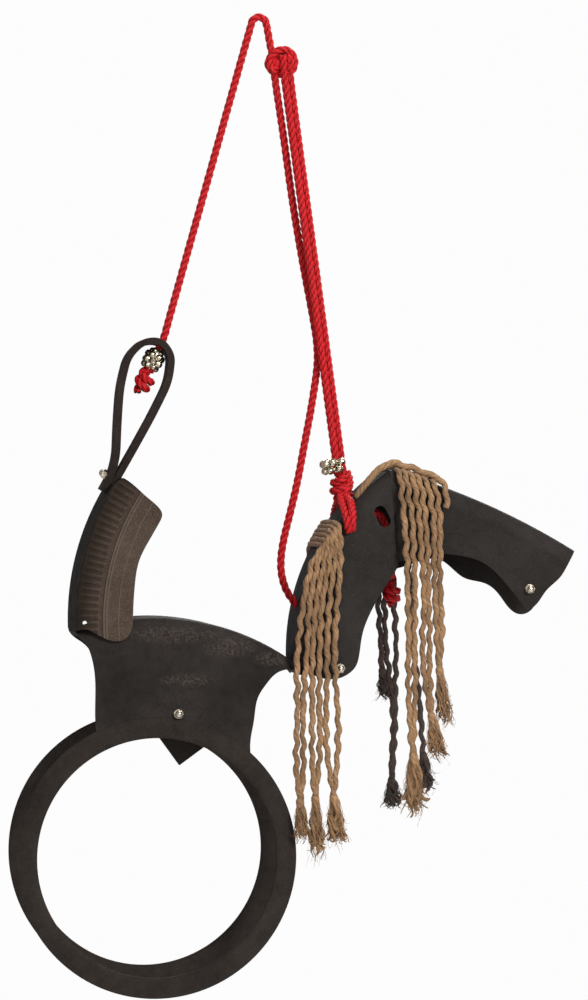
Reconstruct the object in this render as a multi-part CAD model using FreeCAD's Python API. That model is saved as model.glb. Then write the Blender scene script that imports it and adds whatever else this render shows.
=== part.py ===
import FreeCAD, Part
import math
import os

# A pony swing cut from one car tyre and hung on a rope (millimetres).
# +X points to the head, +Z up, the near flank faces -Y.
# The origin is the axis of the peg or hook that the rope's bight hangs over.

Vec = FreeCAD.Vector

# ---- the tyre: 15 inch rim, about 195 mm wide -------------------------------------------------
BEAD_R = 190.0          # inner edge of the bead, which is the rim's radius
CUT_R = 223.0           # where the sidewall is cut free of the bead ring
BACK_R = 380.0          # crown of the saddle, above the same centre
HALF_WIDTH = 87.0       # outside of each sidewall
CREST_HALF_WIDTH = 86.0 # the neck's and head's, at the crown
OUTER_HALF_WIDTH = 95.5  # flaps of the backrest, which are folded outside the saddle's walls
TREAD = 8.5
WALL = 6.0
HEAD_TREAD = 13.0       # the neck and head keep more of the tread's rubber
HEAD_WALL = 9.5
SHOULDER = 24.0
HOOP_CENTRE = (-175.0, -1334.0)

# ---- circles that the folded strip's crown follows: (x, z, radius) -----------------------------
BACKREST_CIRCLE = (111.0, -958.4, 414.0)
NECK_CIRCLE = (415.5, -1013.0, 363.0)
HEAD_CIRCLE = (-97.0, -1830.0, 1152.0)

# ---- strap, rope, jute and hardware -------------------------------------------------------------
STRAP_THICK = 10.5
STRAP_WIDTH = 46.0
ROPE_D = 12.7
PEG_R = 6.0
BIGHT_R = PEG_R + ROPE_D / 2
JUTE_D = 7.0
BOLT_R = 4.0
BOLT_HOLE_R = 4.3
NUT_AF = 13.0
WASHER_R = 7.4
WASHER_THICK = 1.6
BELL_R = 4.6
BELL_WALL = 0.5
WIRE_R = 0.5
WIRE_GAP = 0.35
SHANK = 0.6
BELL_STEP = 45.0            # degrees between neighbours in a ring
BELL_ROW = 8.6
OUTER_BELL_STEP = 30.0
OUTER_BELL_ROW = 4.8        # the outer bells sit between the inner rows
FRONT_BELLS_FACE = -40.0    # degrees from the rear side of the strand towards the near flank
REAR_BELLS_BELOW_STRAP = 38.0
SPACER_THICK = 16.0
SPACER_HALF_DIAGONAL = 88.0
SPACER_CENTRE = (-116.0, -1106.0)
SPACER_TURN = -9.0

# ---- side outlines of the rubber, (x, z) -------------------------------------------------------
SADDLE_REAR_NEAR = [(-306, -964), (-303, -975), (-296, -986), (-287, -996), (-279, -1014), (-273, -1050),
                    (-273, -1098), (-271, -1134)]
SADDLE_REAR_FAR = [(-306, -964), (-303, -975), (-293, -988), (-276, -1000), (-262, -1018), (-255, -1050),
                   (-255, -1098), (-254, -1126)]
NEAR_FOOT = 115.6           # degrees on the hoop's circle where each wall's rear edge meets it
FAR_FOOT = 110.8
SADDLE_FRONT = [(-25, -1168), (-25, -1144), (-20, -1117), (-14, -1082), (1, -1058), (17, -1042),
                (41, -1037), (62, -1050)]

BACKREST_FLAP = [(-306, -978), (-284, -972), (-271, -979), (-257, -986), (-241, -990), (-225, -985),
                 (-217, -974), (-214, -950), (-213, -924), (-211, -899), (-204, -862), (-188, -830),
                 (-173, -804), (-168, -788), (-173, -779), (-191, -763), (-212, -744), (-228, -732)]

NECK_FLAP = [(30, -1012), (38, -1021), (54, -1034), (72, -1044), (89, -1051), (103, -1053), (117, -1052),
             (132, -1046), (146, -1033), (152, -1014), (157, -982), (168, -952), (192, -910), (216, -873)]
POLL_FOLD = [(216, -873), (210, -824), (206, -776), (202, -735), (202, -680)]

HEAD_FLAP_NEAR = [(216, -867), (240, -861), (278, -853), (300, -854), (332, -859), (358, -869), (381, -888),
                  (403, -913), (418, -931), (430, -943), (441, -937), (458, -913), (480, -891),
                  (493, -868), (505, -850)]
HEAD_FLAP_FAR = [(216, -880), (260, -872), (312, -866), (325, -875), (350, -895), (387, -905), (407, -921),
                 (427, -947), (442, -955), (458, -951), (472, -934), (484, -906), (498, -880), (505, -850)]

STRAP_PATH = [(-245, -756.6), (-229.5, -728.6), (-204, -684), (-173, -628), (-148, -577), (-143, -535),
              (-161, -511), (-190, -513), (-214, -537), (-226, -585), (-230, -640), (-232, -694),
              (-238.92, -723.4), (-254.42, -751.4)]

# ---- fastener places: (x, z) of the ones along Y -----------------------------------------------
BODY_BOLT = (-141.0, -1106.0)
NECK_BOLT = (120.0, -1036.0)
NOSE_BOLT = (431.0, -910.0)
STRAP_BOLT_AT = Vec(-237.6, 0, -732.1)
STRAP_BOLT_AXIS = Vec(-0.875, 0, 0.484).normalize()

# ---- rope places ----------------------------------------------------------------------------
REAR_LEG_ANGLE = 15.65      # of the leg to the vertical
FRONT_LEG_ANGLE = 10.5
BIGHT_HALF_ANGLE = 30.0     # the bight proper; the legs start clear of it, so that they can turn
LEG_START_ANGLE = 66.0
STRAP_HOLE_AT = Vec(-155.0, 0, -509.5)
BELL_AXIS = Vec(-0.4625, 0, -0.8865).normalize()
REAR_LEG_END = Vec(-180.0, 0, -557.4)
REAR_KNOT = Vec(-188.5, 0, -573.7)
CROWN_KNOT = Vec(35.0, 0, -61.0)
FRONT_KNOT = Vec(134.5, 0, -750.0)
INNER_KNOT = Vec(217.0, 0, -915.0)
REIN_KNOT = Vec(88.0, 0, -962.0)
NEAR_HOLE = (138.0, -811.0)
EYE_HOLE = (191.0, -794.0)

PAIR_TOP = Vec(46.5, 0, -84.0)
PAIR_BOTTOM = Vec(133.5, 0, -727.0)
PAIR_OFFSET = Vec(5.3, 3.75, 0)     # from the pair's middle to each strand's middle

REIN_PATH = [(26, 0, -88), (41, 9, -175), (56, 13, -282), (74, 15, -385), (89, 15, -462), (97, 14, -510),
             (98, 13, -545), (93, 10, -580), (84, 7, -632), (73, 4, -686), (64, 2, -734), (51, 0, -788),
             (40, 0, -830), (35, 0, -864), (37, 0, -893), (49, 0, -924), (74, 0, -950)]
YOKE_PATH = [(139, 17, -758), (140, 38, -766), (139, 68, -770), (138, 90, -782), (137, 98, -799),
             (137, 91, -813), (141, 74, -811), (153, 60, -797), (171, 52, -784), (190, 47, -789),
             (203, 43, -812), (208, 37, -842), (211, 25, -870), (215, 8, -893)]

# ---- the mane: every strand hangs from the level of its bunch's hinge to its tassel --------------
LOCK_GAP = 3.2             # the height between a lock's fixed part and its hanging one
NECK_MANE_TOP = -862.0
NECK_MANE = [
    [(74, -93, -862), (64, -96, -896), (57, -98, -935), (51, -99, -979), (46, -100, -1029),
     (48, -101, -1086),
     (46, -102, -1149), (45, -103, -1199), (51, -104, -1242)],
    [(84, -93, -862), (74, -96, -896), (67, -98, -935), (65, -98, -990), (61, -99, -1040),
     (57, -100, -1086),
     (56, -102, -1149), (58, -103, -1198), (52, -104, -1242)],
    [(93, -93, -862), (84, -95, -898), (77, -97, -940), (73, -98, -990), (71, -99, -1053),
     (72, -100, -1117),
     (70, -103, -1181), (74, -108, -1237)],
    [(102, -93, -862), (94, -95, -896), (86, -97, -940), (84, -98, -1006), (82, -100, -1085),
     (85, -101, -1149),
     (80, -104, -1210), (75, -108, -1237)],
    [(110, -93, -862), (104, -95, -896), (99, -96, -940), (96, -97, -990), (96, -98, -1053),
     (93, -100, -1117),
     (95, -102, -1180), (105, -104, -1235)],
    [(118, -93, -862), (116, -95, -896), (112, -96, -940), (108, -97, -990), (109, -98, -1053),
     (114, -100, -1117),
     (112, -102, -1181), (106, -104, -1235)],
]
NECK_TASSELS = [((51, -104, -1242), (58, -104, -1321), 10.5), ((75, -108, -1237), (80, -117, -1353), 12.0),
                ((105, -104, -1235), (113, -106, -1334), 14.5)]

FORELOCK_TOP = -764.0
NEAR_FORELOCK = [
    [(218, -93, -764), (221, -95, -795), (225, -97, -854), (226, -98, -918), (228, -99, -982),
     (226, -100, -1054),
     (229, -101, -1117), (233, -102, -1170)],
    [(229, -93, -764), (235, -95, -795), (236, -97, -854), (239, -98, -918), (236, -99, -990),
     (238, -100, -1069),
     (236, -101, -1120), (234, -102, -1170)],
    [(241, -93, -764), (246, -95, -795), (249, -97, -854), (254, -98, -926), (249, -99, -990),
     (252, -101, -1053),
     (262, -104, -1108)],
    [(252, -93, -764), (256, -95, -800), (260, -97, -862), (259, -98, -926), (262, -99, -990),
     (260, -101, -1053),
     (264, -104, -1108)],
    [(264, -93, -764), (270, -95, -798), (269, -97, -862), (271, -98, -926), (273, -99, -985),
     (276, -100, -1035)],
    [(276, -93, -764), (280, -95, -802), (278, -97, -866), (280, -98, -930), (282, -99, -988),
     (277, -100, -1035)],
]
NEAR_TASSELS = [((234, -102, -1170), (237, -104, -1291), 16.0), ((263, -104, -1108),
                (275, -119, -1197), 12.5),
                ((277, -100, -1035), (290, -98, -1146), 11.0)]

FAR_FORELOCK = [
    [(216, 93, -764), (213, 96, -800), (214, 98, -870), (212, 99, -944), (217, 100, -1000),
     (219, 101, -1045)],
    [(229, 93, -764), (225, 96, -800), (222, 97, -870), (223, 98, -944), (224, 99, -996), (231, 100, -1060),
     (239, 101, -1127), (236, 102, -1177), (235, 103, -1226)],
    [(241, 93, -764), (237, 96, -800), (237, 97, -870), (239, 98, -944), (243, 99, -1012),
     (240, 100, -1078),
     (242, 101, -1140), (236, 103, -1226)],
    [(252, 93, -764), (256, 96, -800), (262, 97, -870), (268, 98, -944), (274, 99, -1030),
     (283, 100, -1110),
     (288, 101, -1185)],
]
FAR_TASSELS = [((235, 103, -1226), (240, 105, -1283), 14.0), ((219, 101, -1045), (229, 102, -1108), 12.0),
               ((288, 101, -1185), (296, 103, -1262), 13.0)]

# ---- where locks cross a crown: (x at the near flank, x on the crown, x at the far flank) --------
FORELOCK_BANDS = [(218, 213, 216), (229, 222.5, 229), (241, 232.5, 241), (252, 243, 252),
                  (264, 255, 264), (276, 269, 276)]
NECK_BANDS = [(74, 96, None), (84, 100.2, None), (93, 104.4, None), (102, 108.7, None), (110, 113, None),
              (118, 117.3, None)]
FAR_TAIL = 28.0             # how far a lock with no hanging strand goes down the far flank
CREST_LOCK = [(150, -52, -762), (168, -56, -736), (186, -60, -716), (204, -62, -707.2), (224, -62, -709.9),
              (246, -64, -718), (268, -68, -726.4), (281, -75, -731.5), (289, -86, -744),
              (290, -94, -760), (288.5, -96.5, -778)]


def on_circle(circle, degrees, y=0.0, outwards=0.0):
    """The point at an angle on a circle in the XZ plane, counted from +X towards +Z."""
    x, z, radius = circle
    angle = math.radians(degrees)
    return Vec(x + (radius + outwards) * math.cos(angle), y, z + (radius + outwards) * math.sin(angle))


def at_height(points, y=0.0):
    return [Vec(x, y, z) for x, z in points]


def curve(points):
    spline = Part.BSplineCurve()
    spline.interpolate(points)
    return spline.toShape()


def prism(edges, y_low, y_high):
    """A closed side outline, given at y = 0, made into a slab from y_low to y_high."""
    face = Part.Face(Part.Wire(edges))
    face.translate(Vec(0, y_low, 0))
    return face.extrude(Vec(0, y_high - y_low, 0))


def lines(points):
    return [Part.makeLine(a, b) for a, b in zip(points, points[1:])]


def corner_arc(before, corner, after, length):
    """The arc that rounds a corner, starting the given length before it: (start, edge, end, radius)."""
    to_before = (before - corner).normalize()
    to_after = (after - corner).normalize()
    half = to_before.getAngle(to_after) / 2
    radius = length * math.tan(half)
    inwards = (to_before + to_after).normalize()
    start = corner + to_before * length
    end = corner + to_after * length
    middle = corner + inwards * (radius / math.sin(half) - radius)
    return start, Part.Arc(start, middle, end).toShape(), end, radius


def rounded_path(points, share=0.45):
    """Straight runs joined by tangent arcs, each as large as its shorter run allows."""
    edges, radii = [], []
    last = points[0]
    for before, corner, after in zip(points, points[1:], points[2:]):
        length = share * min((before - corner).Length, (after - corner).Length)
        start, arc, end, radius = corner_arc(before, corner, after, length)
        edges += [Part.makeLine(last, start), arc]
        radii.append(radius)
        last = end
    edges.append(Part.makeLine(last, points[-1]))
    return edges, radii


def circle_at(point, direction, radius):
    return Part.Wire(Part.Circle(point, direction, radius).toShape())


def tube(name, edges, diameter):
    """A round cord along a path, with its volume compared with section times length."""
    path = Part.Wire(edges)
    first = edges[0]
    start = first.valueAt(first.FirstParameter)
    direction = first.tangentAt(first.FirstParameter)
    solid = path.makePipeShell([circle_at(start, direction, diameter / 2)], True, False)
    ideal = math.pi * diameter ** 2 / 4 * path.Length
    print(f"{name}: {path.Length:.0f} mm long, volume {solid.Volume / ideal:.3f} of section times length")
    return solid


def cord(name, points, diameter):
    points = [Vec(*p) for p in points]
    edges, radii = rounded_path(points)
    print(name, "radii", [round(r) for r in radii])
    return tube(name, edges, diameter)


def hook_arc(from_degrees, to_degrees):
    circle = (0.0, 0.0, BIGHT_R)
    middle = (from_degrees + to_degrees) / 2
    return Part.Arc(*[on_circle(circle, a) for a in (from_degrees, middle, to_degrees)]).toShape()


def tyre_profile(circle, half_width, edge_half_width, depth, inset, inset_crown):
    """Half of a section through the strip: crown, rounded shoulders and walls that may lean inwards."""
    radius = circle[2] - inset_crown
    side = half_width - inset
    lean = (half_width - edge_half_width) / depth
    foot = side - lean * (depth - inset_crown)
    corners = [(radius - depth, -foot), (radius, -side), (radius, side), (radius - depth, foot)]
    points = [Vec(circle[0] + r, y, circle[1]) for r, y in corners]
    round_r = SHOULDER - min(inset, inset_crown)
    edges = []
    last = points[0]
    for i in (1, 2):
        half = (points[i - 1] - points[i]).getAngle(points[i + 1] - points[i]) / 2
        start, arc, end, _ = corner_arc(points[i - 1], points[i], points[i + 1], round_r / math.tan(half))
        edges += [Part.makeLine(last, start), arc]
        last = end
    edges += [Part.makeLine(last, points[3]), Part.makeLine(points[3], points[0])]
    return Part.Face(Part.Wire(edges))


def strip(circle, from_degrees, to_degrees, half_width, edge_half_width, depth, wall=WALL, tread=TREAD):
    """A stretch of the tyre's crown with both walls, bent round a circle in side view."""
    outer = tyre_profile(circle, half_width, edge_half_width, depth, 0.0, 0.0)
    inner = tyre_profile(circle, half_width, edge_half_width, depth + 20.0, wall, tread)
    centre = Vec(circle[0], 0, circle[1])
    solids = []
    for face in (outer, inner):
        face.rotate(centre, Vec(0, 1, 0), -from_degrees)
        solids.append(face.revolve(centre, Vec(0, 1, 0), from_degrees - to_degrees))
    return solids[0].cut(solids[1])


def cross_hole(x, z, radius):
    return Part.makeCylinder(radius, 300, Vec(x, -150, z), Vec(0, 1, 0))


def hoop(side):
    """The bead and the lowest part of one sidewall, left whole as a ring. side is -1 near, 1 far."""
    cx, cz = HOOP_CENTRE
    inner = HALF_WIDTH - WALL
    section = [(BEAD_R, inner), (BEAD_R + 4, inner - 3), (BEAD_R + 14, inner - 3), (CUT_R, inner),
               (CUT_R, HALF_WIDTH), (BEAD_R + 18, HALF_WIDTH + 3.5), (BEAD_R + 6, HALF_WIDTH + 4),
               (BEAD_R, HALF_WIDTH + 0.5)]
    points = [Vec(cx + r, side * y, cz) for r, y in section]
    face = Part.Face(Part.Wire(lines(points + points[:1])))
    ring = face.revolve(Vec(cx, 0, cz), Vec(0, 1, 0), 360)
    return ring.Solids[0] if ring.Solids else Part.Solid(ring)


def saddle():
    cx, cz = HOOP_CENTRE
    body = strip((cx, cz, BACK_R), 48, 116, HALF_WIDTH, HALF_WIDTH, BACK_R - CUT_R)
    foot = on_circle((cx, cz, CUT_R), 88)
    top = at_height([(62, -880), (-304, -880)])
    halves = []
    for points, foot_degrees, y_low, y_high in ((SADDLE_REAR_NEAR, NEAR_FOOT, -150, 0),
                                                (SADDLE_REAR_FAR, FAR_FOOT, 0, 150)):
        rear, front = at_height(points), at_height(SADDLE_FRONT)
        rear[-1] = on_circle((cx, cz, CUT_R), foot_degrees)
        front[0] = on_circle((cx, cz, CUT_R), 48)
        outline = [curve(rear), Part.Arc(rear[-1], foot, front[0]).toShape(), curve(front)]
        outline += lines([front[-1]] + top + [rear[0]])
        halves.append(body.common(prism(outline, y_low, y_high)))
    whole = halves[0].fuse(halves[1]).removeSplitter()
    return whole.cut(cross_hole(*BODY_BOLT, BOLT_HOLE_R))


def backrest(body):
    """The strip's rear end, folded up behind the rider, with its walls outside the saddle's."""
    strip_solid = strip(BACKREST_CIRCLE, 136, 190, OUTER_HALF_WIDTH, OUTER_HALF_WIDTH, 190)
    flap = at_height(BACKREST_FLAP)
    rest = at_height([(-256, -751), (-340, -751), (-340, -978)])
    outline = [curve(flap)] + lines([flap[-1]] + rest + [flap[0]])
    near_hole = Part.makeCylinder(3.5, 150, Vec(-290, -150, -961), Vec(0, 1, 0))
    far_hole = Part.makeCylinder(4.5, 150, Vec(-274, 0, -967), Vec(0, 1, 0))
    bolt_hole = Part.makeCylinder(BOLT_HOLE_R, 60, STRAP_BOLT_AT - STRAP_BOLT_AXIS * 30, STRAP_BOLT_AXIS)
    return strip_solid.common(prism(outline, -150, 150)).cut(body).cut(near_hole.fuse(far_hole)).cut(bolt_hole)


def neck(body):
    section = strip(NECK_CIRCLE, 118, 200, CREST_HALF_WIDTH, 62, 190, HEAD_WALL, HEAD_TREAD)
    flap, fold = at_height(NECK_FLAP), at_height(POLL_FOLD)
    fold[0] = flap[-1]
    outside = at_height([(0, -680), (0, -1012)])
    outline = [curve(flap), curve(fold)] + lines([fold[-1]] + outside + [flap[0]])
    solid = section.common(prism(outline, -150, 150)).cut(body)
    solid = solid.cut(cross_hole(*NECK_BOLT, BOLT_HOLE_R)).cut(cross_hole(*NEAR_HOLE, ROPE_D / 2 + 0.5))
    rein_hole = Part.makeCylinder(ROPE_D / 2 + 1.5, 60, Vec(37, 0, -911.5), Vec(25, 0, -26))
    return solid.cut(rein_hole).cut(eye_hole())


def eye_hole():
    """The slit between the neck's and the head's flaps where the fold stands open."""
    slot = Part.makeCylinder(10, 300, Vec(0, -150, 0), Vec(0, 1, 0))
    shape = slot.fuse(slot.translated(Vec(0, 0, -16))).fuse(Part.makeBox(20, 300, 16, Vec(-10, -150, -16)))
    shape.rotate(Vec(0, 0, 0), Vec(0, 1, 0), -28)
    shape.translate(Vec(EYE_HOLE[0] - 6, 0, EYE_HOLE[1] + 8))
    return shape


def head():
    """The strip folded forwards over the poll; the far flap hangs a little lower than the near one."""
    section = strip(HEAD_CIRCLE, 54, 78, CREST_HALF_WIDTH, 55, 170, HEAD_WALL, HEAD_TREAD)
    fold = at_height(POLL_FOLD[::-1])
    halves = []
    for flap_points, y_low, y_high in ((HEAD_FLAP_NEAR, -150, 0), (HEAD_FLAP_FAR, 0, 150)):
        flap = at_height(flap_points)
        back = fold[:-1] + [flap[0]]
        nose = at_height([(516, -846), (540, -680)])
        outline = [curve(back), curve(flap)] + lines([flap[-1]] + nose + [fold[0]])
        halves.append(section.common(prism(outline, y_low, y_high)))
    whole = halves[0].fuse(halves[1]).removeSplitter()
    return whole.cut(cross_hole(*NOSE_BOLT, BOLT_HOLE_R)).cut(eye_hole())


def strap():
    """The tread, narrowed to a strap, turned over into a loop and bolted back on itself."""
    edges, radii = rounded_path(at_height(STRAP_PATH))
    print("strap radii", [round(r) for r in radii])
    start, direction = edges[0].valueAt(0), edges[0].tangentAt(0)
    across = Vec(0, 1, 0)
    thick = direction.cross(across)
    half_t, half_w = thick * (STRAP_THICK / 2), across * (STRAP_WIDTH / 2)
    corners = [start + half_t + half_w, start - half_t + half_w]
    corners += [start - half_t - half_w, start + half_t - half_w]
    section = Part.Wire(lines(corners + corners[:1]))
    solid = Part.Wire(edges).makePipeShell([section], True, False)
    return solid


def finished_strap(rear):
    solid = strap().cut(rear)
    rope_hole = Part.makeCylinder(ROPE_D / 2 + 1.6, 44, STRAP_HOLE_AT - BELL_AXIS * 22, BELL_AXIS)
    bolt_hole = Part.makeCylinder(BOLT_HOLE_R, 60, STRAP_BOLT_AT - STRAP_BOLT_AXIS * 30, STRAP_BOLT_AXIS)
    return max(solid.cut(rope_hole).cut(bolt_hole).Solids, key=lambda piece: piece.Volume)


def spacer_block():
    """A square of thick rubber on the body bolt, hanging point down between the two walls."""
    corners = [on_circle((*SPACER_CENTRE, SPACER_HALF_DIAGONAL), SPACER_TURN + 90 * i) for i in range(4)]
    face = Part.Face(Part.Wire(lines(corners + corners[:1])))
    face.translate(Vec(0, -SPACER_THICK / 2, 0))
    return face.extrude(Vec(0, SPACER_THICK, 0)).cut(cross_hole(*BODY_BOLT, BOLT_R))


def cap_nut(face_at, direction):
    """An acorn nut standing on a face, its dome pointing along direction."""
    hexagon = [Vec(NUT_AF / math.sqrt(3) * math.cos(math.radians(60 * i)),
                   NUT_AF / math.sqrt(3) * math.sin(math.radians(60 * i)), 0) for i in range(7)]
    nut = Part.Face(Part.Wire(lines(hexagon))).extrude(Vec(0, 0, 5.5))
    dome = Part.makeSphere(6.0, Vec(0, 0, 5.5), Vec(0, 0, 1), 0, 90, 360)
    nut = nut.fuse(dome).cut(Part.makeCylinder(BOLT_R, 7.0)).removeSplitter()
    nut.Placement = FreeCAD.Placement(face_at, FreeCAD.Rotation(Vec(0, 0, 1), direction))
    return nut


def washer(face_at, direction):
    ring = Part.makeCylinder(WASHER_R, WASHER_THICK, face_at, direction)
    return ring.cut(Part.makeCylinder(BOLT_HOLE_R, WASHER_THICK, face_at, direction))


def bolt(head_face, nut_face, direction):
    """A carriage bolt from the washer under its round head to the far end of the cap nut's thread."""
    shank = Part.makeCylinder(BOLT_R, (nut_face - head_face).dot(direction) + 6.5, head_face, direction)
    dome = Part.makeSphere(11.0, Vec(0, 0, 0), Vec(0, 0, 1), 45, 90, 360)
    dome.Placement = FreeCAD.Placement(head_face + direction * (11.0 * math.sin(math.radians(45))),
                                       FreeCAD.Rotation(Vec(0, 0, 1), direction * -1))
    return shank.fuse(dome).removeSplitter()


def clamp_set(middle, direction, reach_head, reach_nut):
    """Bolt, two washers and cap nut clamping rubber from reach_head to reach_nut along direction."""
    head_side = middle - direction * reach_head
    nut_side = middle + direction * reach_nut
    washers = [washer(head_side - direction * WASHER_THICK, direction), washer(nut_side, direction)]
    nut_face = nut_side + direction * WASHER_THICK
    shank = bolt(head_side - direction * WASHER_THICK, nut_face, direction)
    return shank, washers, cap_nut(nut_face, direction)


def leaning_half_width(circle, edge_half_width, depth, point):
    """Outside half width of a leaning wall at a point given as (x, z)."""
    below = circle[2] - math.hypot(point[0] - circle[0], point[1] - circle[1])
    return 86 - (86 - edge_half_width) / depth * below


def fasteners():
    near = Vec(0, -1, 0)
    neck_y = leaning_half_width(NECK_CIRCLE, 62, 190, NECK_BOLT)
    nose_y = leaning_half_width(HEAD_CIRCLE, 55, 170, NOSE_BOLT)
    band = STRAP_THICK + 0.2
    sets = {
        "body_bolt": clamp_set(Vec(BODY_BOLT[0], 0, BODY_BOLT[1]), near, HALF_WIDTH, HALF_WIDTH),
        "neck_bolt": clamp_set(Vec(NECK_BOLT[0], 0, NECK_BOLT[1]), near, neck_y + 0.6, neck_y + 0.6),
        "nose_bolt": clamp_set(Vec(NOSE_BOLT[0], 0, NOSE_BOLT[1]), near, nose_y + 0.8, nose_y + 0.8),
        "strap_bolt": clamp_set(STRAP_BOLT_AT, STRAP_BOLT_AXIS, band, band),
    }
    nodes = {name: parts[0] for name, parts in sets.items()}
    nodes["washers"] = Part.makeCompound([w for parts in sets.values() for w in parts[1]])
    nodes["cap_nuts"] = Part.makeCompound([parts[2] for parts in sets.values()])
    return nodes


def knot(centre, axis, length, width):
    """The outer shape of a knot: a barrel with rounded ends."""
    half, radius = length / 2, width / 2
    fillet = 0.9 * min(half, radius)
    barrel = Part.makeCylinder(radius, length, Vec(0, 0, -half))
    barrel = barrel.makeFillet(fillet, [barrel.Edges[0], barrel.Edges[2]])
    barrel.Placement = FreeCAD.Placement(centre, FreeCAD.Rotation(Vec(0, 0, 1), axis))
    return barrel


def rope_nodes():
    rear_start = on_circle((0, 0, BIGHT_R), 180 - REAR_LEG_ANGLE)
    front_start = on_circle((0, 0, BIGHT_R), FRONT_LEG_ANGLE)
    rear_edges, _ = rounded_path([rear_start, STRAP_HOLE_AT, REAR_LEG_END])
    leg_start = hook_arc(90 + LEG_START_ANGLE, 180 - REAR_LEG_ANGLE)
    front_end = Vec(19.3, 0, -37.0)
    nodes = {
        "rope_bight": tube("rope_bight", [hook_arc(90 - BIGHT_HALF_ANGLE, 90 + BIGHT_HALF_ANGLE)], ROPE_D),
        "rope_rear_leg": tube("rope_rear_leg", [leg_start] + rear_edges, ROPE_D),
        "rope_front_top": tube("rope_front_top", [hook_arc(90 - LEG_START_ANGLE, FRONT_LEG_ANGLE),
                                                  Part.makeLine(front_start, front_end)], ROPE_D),
        "rope_rear_knot": knot(REAR_KNOT, BELL_AXIS, 38, 27),
        "rope_crown_knot": knot(CROWN_KNOT, Vec(1, 0, 0.35), 60, 52),
        "rope_front_knot": knot(FRONT_KNOT, Vec(0.1, 0, -1), 52, 40),
        "rope_inner_knot": knot(INNER_KNOT, Vec(0.1, 0, -1), 50, 24),
        "rope_rein_knot": knot(REIN_KNOT, Vec(1, 0, -0.4), 26, 26),
        "rope_rein": cord("rope_rein", REIN_PATH, ROPE_D),
        "rope_far_yoke": cord("rope_far_yoke", YOKE_PATH, ROPE_D),
        "rope_near_yoke": cord("rope_near_yoke", [(x, -y, z) for x, y, z in YOKE_PATH], ROPE_D),
    }
    for name, side in (("rope_front_rear_strand", -1), ("rope_front_fore_strand", 1)):
        ends = [p + PAIR_OFFSET * side for p in (PAIR_TOP, PAIR_BOTTOM)]
        nodes[name] = tube(name, [Part.makeLine(*ends)], ROPE_D)
    return nodes


def bell(centre, towards_wire):
    """A hollow jingle bell with a slot, a short shank and a loose pellet: (shell, pellet)."""
    shell = Part.makeSphere(BELL_R).cut(Part.makeSphere(BELL_R - BELL_WALL))
    slot = Part.makeBox(1.2, 2 * BELL_R, BELL_R, Vec(-0.6, -BELL_R, -BELL_R - 1.5))
    shank = Part.makeCylinder(1.0, SHANK + 0.25, Vec(0, 0, BELL_R - 0.25))
    shell = shell.cut(slot).fuse(shank).removeSplitter()
    pellet = Part.makeSphere(1.5, Vec(0, 0, -BELL_R + BELL_WALL + 1.7))
    for solid in (shell, pellet):
        solid.Placement = FreeCAD.Placement(centre, FreeCAD.Rotation(Vec(0, 0, 1), towards_wire))
    return shell, pellet


def bell_bunch(centre, axis, rows, wire_ends):
    """Bells round a rope on wire rings: rows of (distance along axis, [(radius, degrees), ...])."""
    out = Vec(0, 1, 0).cross(axis).normalize()
    side = axis.cross(out).normalize()
    bells, pellets, wires = [], [], []
    wire_radius = ROPE_D / 2 + WIRE_R + WIRE_GAP
    for along, places in rows:
        hub = centre + axis * along
        for radius, degrees in places:
            angle = math.radians(degrees)
            radial = out * math.cos(angle) + side * math.sin(angle)
            shell, pellet = bell(hub + radial * radius, radial * -1)
            bells.append(shell)
            pellets.append(pellet)
            if radius > 2 * BELL_R + ROPE_D:
                start = wire_radius + WIRE_R + 0.05
                reach = radius - BELL_R - SHANK - start
                wires.append(Part.makeCylinder(WIRE_R, reach, hub + radial * start, radial))
        first, last = wire_ends
        ring = Part.makeTorus(wire_radius, WIRE_R, Vec(0, 0, 0), Vec(0, 0, 1), -180, 180, last - first)
        turn = FreeCAD.Rotation(Vec(0, 0, 1), first)
        ring.Placement = FreeCAD.Placement(hub, FreeCAD.Rotation(out, side, axis, "ZXY") * turn)
        wires.append(ring)
    return Part.makeCompound(bells), Part.makeCompound(pellets), Part.makeCompound(wires)


def bell_nodes():
    ring_radius = ROPE_D / 2 + WIRE_GAP + 2 * WIRE_R + SHANK + BELL_R
    outer_radius = ring_radius + 2 * BELL_R
    rear_rows = []
    for row in (-1, 0, 1):
        turn = BELL_STEP / 2 * (row % 2)
        places = [(ring_radius, BELL_STEP * i + turn) for i in range(8)]
        rear_rows.append((row * BELL_ROW, places))
    front_rows = []
    for row in (-1, 0, 1):
        turn = FRONT_BELLS_FACE + (0 if row else BELL_STEP / 2)
        places = [(ring_radius, turn + BELL_STEP * i) for i in (-2, -1, 0, 1)]
        front_rows.append((row * BELL_ROW, places))
    for along in (-OUTER_BELL_ROW, OUTER_BELL_ROW):
        places = [(outer_radius, FRONT_BELLS_FACE + 11 + OUTER_BELL_STEP * i) for i in (-1, 0, 1)]
        front_rows.append((along, places))
    rear_centre = STRAP_HOLE_AT + BELL_AXIS * REAR_BELLS_BELOW_STRAP
    strand_axis = (PAIR_BOTTOM - PAIR_TOP).normalize()
    front_centre = PAIR_BOTTOM - PAIR_OFFSET - strand_axis * 15.0
    nodes = {}
    bunches = (("rear_bell", rear_centre, BELL_AXIS, rear_rows, (-180, 180)),
               ("front_bell", front_centre, strand_axis, front_rows, (-150, 88)))
    for name, centre, axis, rows, wire_ends in bunches:
        bells, pellets, wires = bell_bunch(centre, axis, rows, wire_ends)
        nodes[name + "s"] = bells
        nodes[name + "_pellets"] = pellets
        nodes[name + "_wires"] = wires
    return nodes


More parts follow.
